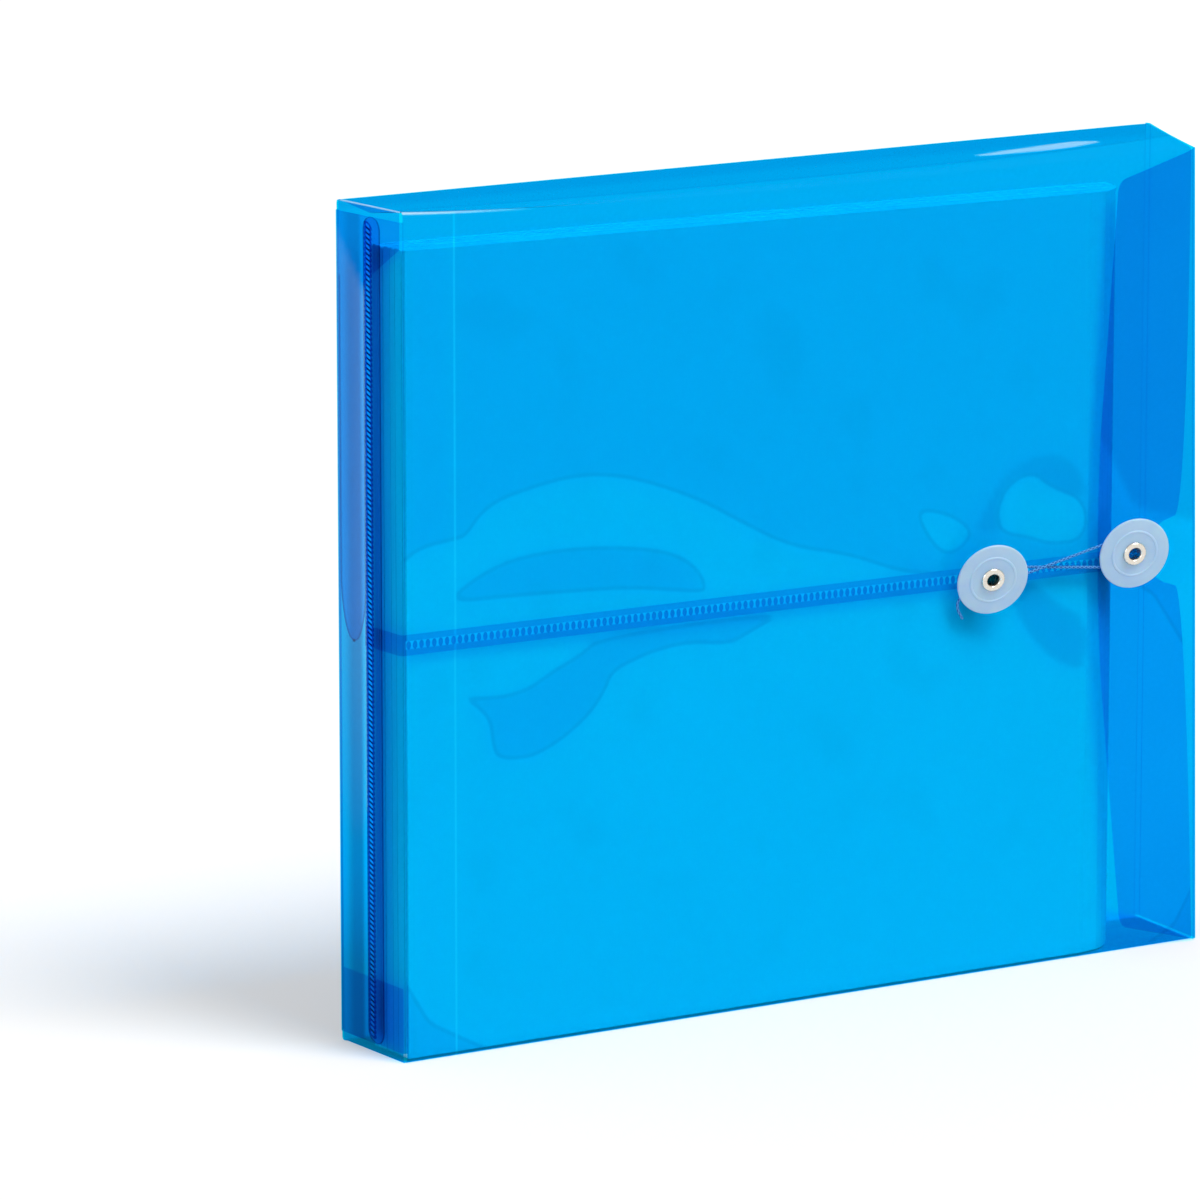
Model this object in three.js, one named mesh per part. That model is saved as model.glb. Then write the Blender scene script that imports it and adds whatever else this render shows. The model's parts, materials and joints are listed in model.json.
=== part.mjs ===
// A file pocket of tinted polypropylene film, standing on its long bottom edge.
// The film is one welded tube: back panel, two front halves lapped at a middle seam, and a
// gusset at the top and the bottom. One end is folded shut and welded. A flap folds round the
// open end and is tied down by a string wound in a figure of eight round two button discs.
// Millimetres. +X runs to the mouth, -Y is the front, +Z is up. The origin is on the floor,
// under the middle of the pocket.

import * as THREE from 'three';

// Overall sizes of the closed pocket, without the buttons
const length = 285.75;
const height = 247.65;
const depth = 34.925;

// Film and how its layers lie on each other
const film = 0.35;
const lapGap = 0.05;
const seamLap = 6;
const closureDrop = 0.9;
const weldProud = 0.15;
const weldWidth = 2.7;
const seamInset = 1;

// Gussets, and how much further out the mouth is at the back than at the front
const topSag = 2;
const mouthSetback = 1;
const mouthSlant = 7;

// Mouth edge of the front panel, with its thumb notch
const mouthHollow = 6.7;
const thumbRadius = 10.5;

// Closed end: how far each flap reaches over the end, and its inset from top and bottom
const rearFlapReach = 24.75;
const frontFlapReach = 19.7;
const endInset = 3;
const endCorner = 3;
const endWeldFromBack = 18.15;
const endWeldInset = 4.5;

// Tucks folded inside the closed end
const tuckDrop = 22;
const tuckSide = 0.3;
const tongueWidth = 14.3;
const tongueTaper = 20;

// Flap: reach from the mouth crease at its shoulders, its waist and its middle
const flapReach = 39.3;
const flapWaistReach = 36.8;
const flapWaistDrop = 85;
const flapShoulderReach = 25.9;
const flapShoulderDrop = 7;
const flapCornerReach = 30.2;
const flapCornerDrop = 12.5;
const creaseClear = 0.45;
const floorClear = 0.5;
const spineDip = 1;

// Buttons: places, measured from the mouth crease, and their parts
const bodyButtonFromMouth = 81.3;
const flapButtonFromMouth = 28;
const flapButtonRise = 2.8;
const discRadius = 11.4;
const discThickness = 0.85;
const discEdge = 0.3;
const ringRadius = 7.2;
const ringWidth = 0.9;
const ringHeight = 0.25;
const barrelRadius = 2.3;
const eyeletWall = 0.5;
const flangeRadius = 3.75;
const flangeThickness = 0.4;
const backFlangeThickness = 0.3;
const washerRadius = 6;
const washerThickness = 0.3;
const holeClear = 0.3;
const discPlay = 0.05;
const leanRoom = 1.8;
const runGap = 0.3;

// Tie string
const stringRadius = 0.4;
const turnGap = 0.45;
const bodyTurnSlack = 0.5;
const flapTurnSlack = 2.3;
const knotRadius = 0.75;
const knotGap = 0.3;
const stringSides = 6;
const turnSteps = 24;

// White filling of sheets in three bundles, fanned out at the mouth
const bundles = ['front', 'middle', 'rear'];
const bundleThickness = 6.2;
const bundleGap = 0.3;
const sheetTopGap = 11.3;
const sheetMouthGap = 40.4;
const sheetEndGap = 1.65;
const sheetFrontGap = 0.65;
const sheetFloorGap = 0.3;
const fanRadius = 20;
const fanSteps = 5;

// Places worked out from the sizes above
const front = -depth / 2;
const back = depth / 2;
const mouth = length / 2;
const layerStep = film + lapGap;
const endLayer = (k) => -length / 2 + weldProud + k * layerStep;
const seamZ = height / 2 - closureDrop;
const upperInside = front + film;
const lowerOutside = front + layerStep;
const lowerInside = lowerOutside + film;
const backInside = back - film;
const bodyButtonX = mouth - bodyButtonFromMouth;
const flapButtonX = mouth - flapButtonFromMouth;
const flapButtonZ = seamZ + flapButtonRise;
const crease = mouth - film / 2;
const rearCrease = crease + mouthSlant;

// Stand-offs in front of the front panel, measured outwards from its outer face
const flapInner = runGap + backFlangeThickness + washerThickness;
const flapOuter = flapInner + film;
const layerOne = flapOuter + runGap + stringRadius;
const layerTwo = layerOne + 2 * stringRadius + turnGap;
const discInner = layerTwo + stringRadius + leanRoom;
const discOuter = discInner + discThickness;

const pocket = new THREE.Group();

const filmLook = {
  color: 0x00a8f0,
  roughness: 0.22,
  metalness: 0,
  transparent: true,
  opacity: 0.55,
};
const looks = {
  film: filmLook,
  weld: { ...filmLook, color: 0x0a6fd8 },
  disc: { color: 0xb9cdec, roughness: 0.35, metalness: 0, transparent: true, opacity: 0.85 },
  washer: { color: 0xd7e2ee, roughness: 0.4, metalness: 0 },
  nickel: { color: 0xcfc8bb, roughness: 0.25, metalness: 1 },
  string: { color: 0x1f78d6, roughness: 0.7, metalness: 0 },
  paper: { color: 0xf4f6f8, roughness: 0.9, metalness: 0 },
};

function add(name, look, geometry) {
  const mesh = new THREE.Mesh(geometry, new THREE.MeshStandardMaterial(looks[look]));
  mesh.name = name;
  pocket.add(mesh);
  return mesh;
}

// A sheet that faces the front: outline in x and z, its outer face at y = face
function frontSheet(name, look, outline, thickness, face) {
  const options = { depth: thickness, bevelEnabled: false, curveSegments: 12 };
  const mesh = add(name, look, new THREE.ExtrudeGeometry(outline, options));
  mesh.rotation.x = Math.PI / 2;
  mesh.position.y = face + thickness;
  return mesh;
}

// A sheet that faces along x: outline in y and z, from x = from and thickness on
function endSheet(name, look, outline, thickness, from) {
  const options = { depth: thickness, bevelEnabled: false, curveSegments: 8 };
  const mesh = add(name, look, new THREE.ExtrudeGeometry(outline, options));
  mesh.rotation.set(Math.PI / 2, Math.PI / 2, 0);
  mesh.position.x = from;
  return mesh;
}

// A round piece on a button's axis: profile of [radius, stand-off] points, closed
function turned(name, look, profile, segments, [x, z]) {
  const points = [...profile, profile[0]].map(([r, s]) => new THREE.Vector2(r, s));
  const mesh = add(name, look, new THREE.LatheGeometry(points, segments));
  mesh.rotation.x = Math.PI;
  mesh.position.set(x, front, z);
  return mesh;
}

function rectangle(x0, z0, x1, z1) {
  const shape = new THREE.Shape();
  shape.moveTo(x0, z0);
  shape.lineTo(x1, z0);
  shape.lineTo(x1, z1);
  shape.lineTo(x0, z1);
  shape.closePath();
  return shape;
}

// A hole, drawn against the direction of its outline
function punch(shape, x, z, radius, clockwise) {
  const hole = new THREE.Path();
  hole.absarc(x, z, radius, 0, 2 * Math.PI, clockwise);
  shape.holes.push(hole);
}

// Back panel, from the closed end to the flap's rear crease
frontSheet(
  'back_panel',
  'film',
  rectangle(endLayer(1), 0, rearCrease - creaseClear, height),
  film,
  backInside,
);

// Front panel halves. The upper one laps over the lower one at the seam. Their mouth edge is
// hollow, with a thumb notch at mid height.
const notchX = mouth - mouthSetback - mouthHollow;
const middleZ = height / 2;

function frontHalf(startX, seamEdge, outerEdge) {
  const side = Math.sign(outerEdge - seamEdge);
  const offset = (middleZ - seamEdge) * side;
  const from = Math.asin(offset / thumbRadius);
  const notchTop = middleZ + side * thumbRadius;
  const shape = new THREE.Shape();
  shape.moveTo(startX, seamEdge);
  shape.lineTo(notchX - thumbRadius * Math.cos(from), seamEdge);
  shape.absarc(notchX, middleZ, thumbRadius, Math.PI + side * from, side * Math.PI / 2, side > 0);
  shape.quadraticCurveTo(notchX, (notchTop + outerEdge) / 2, mouth - mouthSetback, outerEdge);
  shape.lineTo(startX, outerEdge);
  shape.closePath();
  punch(shape, bodyButtonX, seamZ, barrelRadius + holeClear, side > 0);
  return shape;
}

frontSheet(
  'front_panel_upper',
  'film',
  frontHalf(endLayer(2), seamZ - seamLap / 2, height),
  film,
  front,
);
frontSheet(
  'front_panel_lower',
  'film',
  frontHalf(endLayer(3), seamZ + seamLap / 2, 0),
  film,
  lowerOutside,
);

// Welded seam along the lap, on each side of the front button
const seamStart = endLayer(2) + seamInset;
const seamEnd = notchX - thumbRadius - seamInset;
const seamBreak = barrelRadius + 2 * holeClear;
const seamParts = [
  ['seam_weld_left', seamStart, bodyButtonX - seamBreak],
  ['seam_weld_right', bodyButtonX + seamBreak, seamEnd],
];
for (const [name, from, to] of seamParts) {
  const outline = rectangle(from, seamZ - weldWidth / 2, to, seamZ + weldWidth / 2);
  frontSheet(name, 'weld', outline, weldProud, front - weldProud);
}

// Gussets between the panels: the top one sags along its middle crease, the bottom one is flat
function gusset(frontFace, top, sag) {
  const shape = new THREE.Shape();
  shape.moveTo(frontFace, top - film);
  shape.lineTo(0, top - film - sag);
  shape.lineTo(backInside, top - film);
  shape.lineTo(backInside, top);
  shape.lineTo(0, top - sag);
  shape.lineTo(frontFace, top);
  shape.closePath();
  return shape;
}

// Moves a gusset's mouth end out towards the back, onto the slant of the mouth
function slantEnd(mesh) {
  const points = mesh.geometry.attributes.position;
  for (let i = 0; i < points.count; i++) {
    const share = (points.getX(i) - front) / depth;
    if (points.getZ(i) > 0) points.setZ(i, points.getZ(i) + share * mouthSlant);
  }
}

const gussetLength = mouth - mouthSetback - endLayer(4);
const topGusset = gusset(upperInside, height, topSag);
const bottomGusset = gusset(lowerInside, film, 0);
slantEnd(endSheet('top_gusset', 'film', topGusset, gussetLength, endLayer(4)));
slantEnd(endSheet('bottom_gusset', 'film', bottomGusset, gussetLength, endLayer(4)));

// Closed end. The rear flap is outermost, the two front flaps lie under it.
function endFlap(hinge, free, z0, z1, roundLow, roundHigh) {
  const side = Math.sign(free - hinge);
  const low = roundLow ? endCorner : 0;
  const high = roundHigh ? endCorner : 0;
  const shape = new THREE.Shape();
  shape.moveTo(hinge, z0);
  shape.lineTo(free - side * low, z0);
  if (low) shape.quadraticCurveTo(free, z0, free, z0 + low);
  shape.lineTo(free, z1 - high);
  if (high) shape.quadraticCurveTo(free, z1, free - side * high, z1);
  shape.lineTo(hinge, z1);
  shape.closePath();
  return shape;
}

const endTop = height - endInset;
endSheet(
  'end_flap_rear',
  'film',
  endFlap(back, back - rearFlapReach, endInset, endTop, true, true),
  film,
  endLayer(0),
);
endSheet(
  'end_flap_front_upper',
  'film',
  endFlap(front, front + frontFlapReach, seamZ - seamLap / 2, endTop, false, true),
  film,
  endLayer(1),
);
endSheet(
  'end_flap_front_lower',
  'film',
  endFlap(lowerOutside, front + frontFlapReach, endInset, seamZ + seamLap / 2, true, false),
  film,
  endLayer(2),
);

const endWeldY = back - endWeldFromBack;
endSheet(
  'end_weld',
  'weld',
  rectangle(
    endWeldY - weldWidth / 2,
    endWeldInset,
    endWeldY + weldWidth / 2,
    height - endWeldInset,
  ),
  weldProud,
  endLayer(0) - weldProud,
);

// Tucks: the gussets' ends folded down and up inside the end. The upper one ends in a long
// tongue whose rounded tip reaches the seam.
const tuckFront = lowerInside + tuckSide;
const tuckBack = backInside - tuckSide;
const upperTuck = new THREE.Shape();
upperTuck.moveTo(tuckFront, height);
upperTuck.lineTo(tuckFront, height - tuckDrop / 2);
upperTuck.lineTo(tuckBack - tongueWidth, height - tuckDrop);
upperTuck.lineTo(tuckBack - tongueWidth, seamZ + tongueTaper);
upperTuck.quadraticCurveTo(
  tuckBack - tongueWidth,
  seamZ - seamLap / 2,
  tuckBack - tongueWidth / 2,
  seamZ - seamLap / 2,
);
upperTuck.quadraticCurveTo(tuckBack, seamZ - seamLap / 2, tuckBack, seamZ + tongueTaper);
upperTuck.lineTo(tuckBack, height);
upperTuck.closePath();
endSheet('end_tuck_upper', 'film', upperTuck, film, endLayer(3));
endSheet('end_tuck_lower', 'film', rectangle(tuckFront, 0, tuckBack, tuckDrop), film, endLayer(3));

// Flap: the spine closes the mouth and swings on the rear crease. The panel lies on the front
// and folds on the front crease. The spine's sheet lies in a group at the front crease, turned
// onto the slant of the mouth.
const flapCrease = front - flapInner - film / 2;
const creaseRise = back - film / 2 - flapCrease;
const spineWidth = Math.hypot(creaseRise, mouthSlant);
const spine = new THREE.Shape();
spine.moveTo(creaseClear, floorClear);
spine.lineTo(spineWidth - creaseClear, floorClear);
spine.lineTo(spineWidth - creaseClear, height);
spine.lineTo(spineWidth / 2, height - spineDip);
spine.lineTo(creaseClear, height);
spine.closePath();
const spineTurn = new THREE.Group();
spineTurn.add(endSheet('flap_spine', 'film', spine, film, -film / 2));
spineTurn.position.set(crease, flapCrease, 0);
spineTurn.rotation.z = -Math.atan2(mouthSlant, creaseRise);
pocket.add(spineTurn);

const flap = new THREE.Shape();
flap.moveTo(crease - creaseClear, floorClear);
flap.lineTo(crease - creaseClear, height);
flap.lineTo(mouth - flapShoulderReach, height - flapShoulderDrop);
flap.quadraticCurveTo(
  mouth - flapCornerReach,
  height - flapShoulderDrop,
  mouth - flapCornerReach,
  height - flapCornerDrop,
);
flap.lineTo(mouth - flapWaistReach, height - flapWaistDrop);
flap.quadraticCurveTo(
  mouth - flapReach,
  height / 2,
  mouth - flapWaistReach,
  flapWaistDrop,
);
flap.lineTo(mouth - flapCornerReach, flapCornerDrop);
flap.quadraticCurveTo(
  mouth - flapCornerReach,
  flapShoulderDrop,
  mouth - flapShoulderReach,
  flapShoulderDrop,
);
flap.closePath();
punch(flap, flapButtonX, flapButtonZ, barrelRadius + holeClear, true);
frontSheet('flap_panel', 'film', flap, film, front - flapOuter);

// Buttons. Stand-off 0 is the front panel's outer face, and inside the pocket is below 0.
const bore = barrelRadius - eyeletWall;
const bodyButton = [bodyButtonX, seamZ];
const flapButton = [flapButtonX, flapButtonZ];

function disc(name, place) {
  const hole = barrelRadius + holeClear;
  const ringIn = ringRadius - ringWidth / 2;
  const ringOut = ringRadius + ringWidth / 2;
  const profile = [
    [hole, discInner],
    [discRadius - discEdge, discInner],
    [discRadius, discInner + discEdge],
    [discRadius, discOuter - discEdge],
    [discRadius - discEdge, discOuter],
    [ringOut, discOuter],
    [ringOut - ringHeight, discOuter + ringHeight],
    [ringIn + ringHeight, discOuter + ringHeight],
    [ringIn, discOuter],
    [hole, discOuter],
  ];
  turned(name, 'disc', profile, 40, place);
}

function eyelet(name, place, filmBack, washer) {
  const seat = discOuter + discPlay;
  const rear = filmBack - washer - backFlangeThickness;
  const roll = flangeThickness / 2;
  const profile = [
    [barrelRadius, filmBack - washer],
    [barrelRadius, seat],
    [flangeRadius - roll, seat],
    [flangeRadius, seat + roll],
    [flangeRadius - roll, seat + flangeThickness],
    [bore + roll, seat + flangeThickness],
    [bore, seat],
    [bore, rear],
    [flangeRadius, rear],
    [flangeRadius, filmBack - washer],
  ];
  turned(name, 'nickel', profile, 24, place);
}

function washer(name, place, filmBack) {
  const profile = [
    [barrelRadius + holeClear, filmBack - washerThickness],
    [washerRadius, filmBack - washerThickness],
    [washerRadius, filmBack],
    [barrelRadius + holeClear, filmBack],
  ];
  turned(name, 'washer', profile, 24, place);
}

const panelBack = front - lowerInside;
disc('body_button_disc', bodyButton);
eyelet('body_eyelet', bodyButton, panelBack, washerThickness);
washer('body_washer', bodyButton, panelBack);
disc('flap_button_disc', flapButton);
eyelet('flap_eyelet', flapButton, flapInner, washerThickness);
washer('flap_washer', flapButton, flapInner);

// Tie string: a short tail, a part turn round the front button's post, one strand to the
// flap's post, round it, one strand back over the first, and a last turn that ends in a knot.
// Points are measured from the front button's axis: towards the flap's button, stand-off, and
// square to both.
const bodyTurn = barrelRadius + bodyTurnSlack + stringRadius;
const flapTurn = barrelRadius + flapTurnSlack + stringRadius;
const span = Math.hypot(flapButtonX - bodyButtonX, flapButtonZ - seamZ);
const crossing = Math.asin((bodyTurn + flapTurn) / span);
const tailStandOff = runGap + stringRadius;
const tail = [
  [-7.6, tailStandOff, -11.8],
  [-8.2, tailStandOff, -10.7],
  [-9.1, tailStandOff, -8.9],
  [-9.2, tailStandOff, -7],
  [-8, layerOne - 1, -5],
  [-5.8, layerOne - 0.5, -3.4],
  [-4, layerOne - 0.1, -1.9],
];

function arc(cx, radius, from, to, standFrom, standTo) {
  const steps = Math.ceil((Math.abs(to - from) / (2 * Math.PI)) * turnSteps);
  const points = [];
  for (let i = 0; i <= steps; i++) {
    const k = i / steps;
    const angle = from + k * (to - from);
    const stand = standFrom + k * (standTo - standFrom);
    points.push([cx + radius * Math.cos(angle), stand, radius * Math.sin(angle)]);
  }
  return points;
}

function between(a, b, count) {
  const points = [];
  for (let i = 1; i < count; i++) {
    points.push(a.map((value, axis) => value + (i / count) * (b[axis] - value)));
  }
  return points;
}

const quarter = Math.PI / 2;
const strandPoints = 10;
const lastTurnEnd = -330 * THREE.MathUtils.DEG2RAD;
const firstTurn = arc(0, bodyTurn, 2 * quarter, quarter - crossing, layerOne, layerOne);
const flapLoop = arc(span, flapTurn, -quarter - crossing, quarter + crossing, layerOne, layerTwo);
const lastTurn = arc(0, bodyTurn, -quarter + crossing, lastTurnEnd, layerTwo, layerTwo);
const heading = lastTurnEnd - quarter;
const lastPoint = lastTurn[lastTurn.length - 1];
const along = (step) => [
  lastPoint[0] + step * Math.cos(heading),
  layerTwo,
  lastPoint[2] + step * Math.sin(heading),
];
const route = [
  ...tail,
  ...firstTurn,
  ...between(firstTurn[firstTurn.length - 1], flapLoop[0], strandPoints),
  ...flapLoop,
  ...between(flapLoop[flapLoop.length - 1], lastTurn[0], strandPoints),
  ...lastTurn,
  along(2 * stringRadius),
];
const stringPath = new THREE.CatmullRomCurve3(
  route.map(([x, stand, z]) => new THREE.Vector3(x, -stand, z)),
);
stringPath.arcLengthDivisions = 2000;
const stringLength = stringPath.getLength();
const stringSteps = Math.round((stringLength / (2 * Math.PI * bodyTurn)) * turnSteps);

const section = new THREE.Shape();
for (let i = 0; i < stringSides; i++) {
  const angle = (2 * Math.PI * i) / stringSides;
  const [x, y] = [stringRadius * Math.cos(angle), stringRadius * Math.sin(angle)];
  if (i === 0) section.moveTo(x, y);
  else section.lineTo(x, y);
}
section.closePath();
const string = add(
  'tie_string',
  'string',
  new THREE.ExtrudeGeometry(section, {
    steps: stringSteps,
    bevelEnabled: false,
    extrudePath: stringPath,
  }),
);

// The string's least gap to itself, between points over four diameters apart along it
const fourDiameters = 8 * stringRadius;
const samplesPerMillimetre = 4;
const samples = stringPath.getSpacedPoints(Math.round(stringLength * samplesPerMillimetre));
const apart = Math.ceil((fourDiameters * samples.length) / stringLength);
let leastGap = Infinity;
for (let i = 0; i < samples.length; i++) {
  for (let j = i + apart; j < samples.length; j++) {
    leastGap = Math.min(leastGap, samples[i].distanceTo(samples[j]) - 2 * stringRadius);
  }
}
console.log(`string: ${stringLength.toFixed(1)} mm long, least gap ${leastGap.toFixed(2)} mm`);

const knot = add('string_knot', 'string', new THREE.SphereGeometry(knotRadius, 10, 8));
const knotPlace = along(2 * stringRadius + knotGap + knotRadius);
knot.position.set(knotPlace[0], -(layerTwo + stringRadius - knotRadius), knotPlace[2]);

// The winding is turned a little, because the flap's button stands higher
const winding = new THREE.Group();
winding.add(string, knot);
winding.position.set(bodyButtonX, front, seamZ);
winding.rotation.y = -Math.atan2(flapButtonZ - seamZ, flapButtonX - bodyButtonX);
pocket.add(winding);

// White filling: bundles of sheets standing on the bottom gusset, close behind the front. At
// the mouth they are fanned: each sheet reaches further than the one before it, on an arc.
const sheetX = endLayer(4) + sheetEndGap;
const sheetFront = lowerInside + washerThickness + backFlangeThickness + sheetFrontGap;
const sheetHeight = height - sheetTopGap - film - sheetFloorGap;
function sheetEnd(y) {
  const toArc = fanRadius - (y - sheetFront);
  return mouth - sheetMouthGap + Math.sqrt(fanRadius ** 2 - toArc ** 2);
}
bundles.forEach((place, k) => {
  const from = sheetFront + k * (bundleThickness + bundleGap);
  const plan = new THREE.Shape();
  plan.moveTo(sheetX, from);
  for (let i = 0; i <= fanSteps; i++) {
    const y = from + (i / fanSteps) * bundleThickness;
    plan.lineTo(sheetEnd(y), y);
  }
  plan.lineTo(sheetX, from + bundleThickness);
  plan.closePath();
  const stack = new THREE.ExtrudeGeometry(plan, { depth: sheetHeight, bevelEnabled: false });
  const bundle = add(`document_bundle_${place}`, 'paper', stack);
  bundle.position.z = film + sheetFloorGap;
});

export default pocket;
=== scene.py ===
"""A file pocket of tinted polypropylene film, closed by a string round two button discs."""
import json
import math

import bmesh
import bpy
import numpy as np
from mathutils import Matrix, Vector


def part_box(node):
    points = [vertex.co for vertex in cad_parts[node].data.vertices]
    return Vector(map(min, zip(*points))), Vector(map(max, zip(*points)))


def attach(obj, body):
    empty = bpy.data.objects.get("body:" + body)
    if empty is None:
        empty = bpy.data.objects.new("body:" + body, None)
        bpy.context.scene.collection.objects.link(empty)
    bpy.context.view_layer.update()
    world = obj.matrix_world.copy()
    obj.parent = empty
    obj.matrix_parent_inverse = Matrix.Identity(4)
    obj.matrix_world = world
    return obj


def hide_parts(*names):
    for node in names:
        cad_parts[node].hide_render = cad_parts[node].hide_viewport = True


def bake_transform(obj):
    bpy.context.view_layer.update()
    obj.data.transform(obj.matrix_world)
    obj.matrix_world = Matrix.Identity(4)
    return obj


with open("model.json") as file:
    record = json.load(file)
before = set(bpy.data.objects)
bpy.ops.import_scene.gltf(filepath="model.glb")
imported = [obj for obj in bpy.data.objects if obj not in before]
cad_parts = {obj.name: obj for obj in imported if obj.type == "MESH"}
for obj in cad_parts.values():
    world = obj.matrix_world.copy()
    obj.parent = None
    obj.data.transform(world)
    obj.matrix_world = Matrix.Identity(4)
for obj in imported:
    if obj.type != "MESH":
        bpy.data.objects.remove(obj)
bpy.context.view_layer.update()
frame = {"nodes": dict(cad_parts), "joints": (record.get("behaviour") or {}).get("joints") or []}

MM = 0.001


def low(node):
    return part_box(node)[0]


def high(node):
    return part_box(node)[1]


def middle(node):
    return (low(node) + high(node)) / 2


def hinge(name):
    """The place of a joint's axis."""
    return next(Vector(joint["pos_m"]) for joint in frame["joints"] if joint["name"] == name)


# Planes of the pocket, taken from the frame
FRONT = low("front_panel_upper").y
BACK = high("back_panel").y
TOP = high("back_panel").z
END = low("end_flap_rear").x
FILM = high("end_flap_rear").x - END
REAR_HINGE = hinge("flap_swing")
FRONT_HINGE = hinge("flap_fold")
MOUTH = FRONT_HINGE.x + FILM / 2
MOUTH_SLANT = REAR_HINGE.x - FRONT_HINGE.x
SEAM_Z = middle("seam_weld_left").z
LAP = SEAM_Z - low("front_panel_upper").z
FLAP_FACE = low("flap_panel").y
FLAP_FOOT = low("flap_panel").z

# Visible film: cut edges look thinner than the film is, and lie closer together
SHEET = 0.2 * MM
STEP = 0.22 * MM
LOWER_FACE = FRONT + STEP

# Folds and small deformations of the film
FOLD = 1.2 * MM
CREASE = 1.4 * MM
GUSSET_SAG = 2 * MM
# A high power keeps the gusset's dip level, and lets it fade close to the mouth alone
DIP_FADE = 8
FRONT_EDGE_SAG = 2.6 * MM
REAR_EDGE_RISE = 3.6 * MM
MOUTH_LEAN = 5 * MM
# Share of the height above which the top edges sag and rise
CROWN = 0.9

# Camera, as seen from the photograph's place
CAMERA_PLACE = (-1.1493, -1.6708, 0.4965)
CAMERA_YAW = -33.016
CAMERA_PITCH = 10.544
FOCAL_PIXELS = 6906.2
IMAGE_PIXELS = 1200
SENSOR_WIDTH = 36


def add_camera():
    data = bpy.data.cameras.new("photo_camera")
    data.sensor_width = SENSOR_WIDTH
    data.lens = SENSOR_WIDTH * FOCAL_PIXELS / IMAGE_PIXELS
    data.clip_end = 100
    camera = bpy.data.objects.new("photo_camera", data)
    camera.location = CAMERA_PLACE
    camera.rotation_euler = (math.radians(90 - CAMERA_PITCH), 0, math.radians(CAMERA_YAW))
    bpy.context.scene.collection.objects.link(camera)
    bpy.context.scene.camera = camera


add_camera()


# Materials

def colour(text):
    """An sRGB hex value as linear red, green, blue and alpha."""
    parts = [int(text[i:i + 2], 16) / 255 for i in (0, 2, 4)]
    linear = [c / 12.92 if c <= 0.04045 else ((c + 0.055) / 1.055) ** 2.4 for c in parts]
    return (*linear, 1)


def node(tree, kind, settings=None, **links):
    """Adds a node. Settings are its properties, and links set or link its inputs by name."""
    made = tree.nodes.new(kind)
    for name, value in (settings or {}).items():
        setattr(made, name, value)
    for name, value in links.items():
        key = int(name[1:]) if name[0] == "_" else name.replace("_", " ")
        socket = made.inputs[key]
        if isinstance(value, bpy.types.NodeSocket):
            tree.links.new(value, socket)
        else:
            socket.default_value = value
    return made


def new_material(name):
    material = bpy.data.materials.new(name)
    material.use_nodes = True
    tree = material.node_tree
    tree.nodes.clear()
    output = tree.nodes.new("ShaderNodeOutputMaterial")
    return material, tree, output


def object_point(tree):
    return node(tree, "ShaderNodeTexCoord").outputs["Object"]


def painted(tree, name):
    """A value that a piece's mesh carries point by point."""
    return node(tree, "ShaderNodeAttribute", {"attribute_name": name}).outputs["Fac"]


def noise(tree, size_mm, detail=2, stretch=(1, 1, 1)):
    """Noise whose blobs are about size_mm across, longer along an axis with a small stretch."""
    mapping = node(tree, "ShaderNodeMapping", Vector=object_point(tree), Scale=stretch)
    made = node(tree, "ShaderNodeTexNoise", Vector=mapping.outputs[0],
                Scale=1 / (size_mm * MM), Detail=detail)
    return made.outputs["Fac"]


def ramp(tree, value, low_in, high_in, low_out=0.0, high_out=1.0):
    """Goes smoothly from one output to the other, and stays level outside the input's range."""
    made = node(tree, "ShaderNodeMapRange", {"interpolation_type": "SMOOTHSTEP"}, Value=value,
                From_Min=low_in, From_Max=high_in, To_Min=low_out, To_Max=high_out)
    return made.outputs[0]


def maths(tree, operation, a, b=0.0):
    made = node(tree, "ShaderNodeMath", {"operation": operation}, _0=a, _1=b)
    return made.outputs[0]


def mix_colour(tree, factor, a, b):
    made = node(tree, "ShaderNodeMix", {"data_type": "RGBA"}, Factor=factor, _6=a, _7=b)
    return made.outputs[2]


def mix_shader(tree, factor, a, b):
    return node(tree, "ShaderNodeMixShader", _0=factor, _1=a, _2=b).outputs[0]


def see_through(tree, output, body, pass_colour):
    """Lets rays from lamps through the tinted film, so that what is inside is lit."""
    shadow = node(tree, "ShaderNodeLightPath").outputs["Is Shadow Ray"]
    clear = node(tree, "ShaderNodeBsdfTransparent", Color=pass_colour).outputs[0]
    tree.links.new(mix_shader(tree, shadow, body, clear), output.inputs["Surface"])


# The film's blues, each named for where it shows or for what is painted with it. The last two tint the
# light of the lamps
FILM_TINT = colour("00D4F8")
FILM_CLOUD = colour("00D1F7")
FILM_LOOSE = colour("00D0F6")
# Painted light: the lighter blue where the front clings to the sheets
FILM_CLING_PAINTED_LIGHT = colour("00D9F9")
# Painted shade on the film
FILM_PAINTED_SHADE = colour("00C0EC")
FILM_LAPPED = colour("00DAF8")
FILM_PRESSED = colour("48F2FF")
FILM_SCORED = colour("20E6FC")
# Painted highlights and reflections
FILM_PAINTED_HIGHLIGHT = colour("E4E8FA")
# Painted shade on the closed end
FILM_END_PAINTED_SHADE = colour("009ECC")
FILM_PASS = colour("80E4F8")
FILM_END_PASS = colour("C8F4FF")

# Marks on the front: how wide they are to each side of their line, and how softly they end
SCORE_X = END + 18.4 * MM
SCORE_HALF, SCORE_BLUR = 0.35 * MM, 0.15 * MM
PRESSED_HALF, PRESSED_BLUR = 1.2 * MM, 0.2 * MM
LAP_BLUR = 0.1 * MM
# Where the film starts to cling, in mm: a soft step to the painted lighter blue, and a rim of painted
# shade outside it
CONTACT_BLUR = 0.4
CONTACT_RIM = (0.2, 1.0)
CONTACT_RIM_STRENGTH = 0.5

# The plastic has 1.49, but film so thin doesn't bend what is seen through it
FILM_IOR = 1.003
WELD_IOR = 1.01

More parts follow.
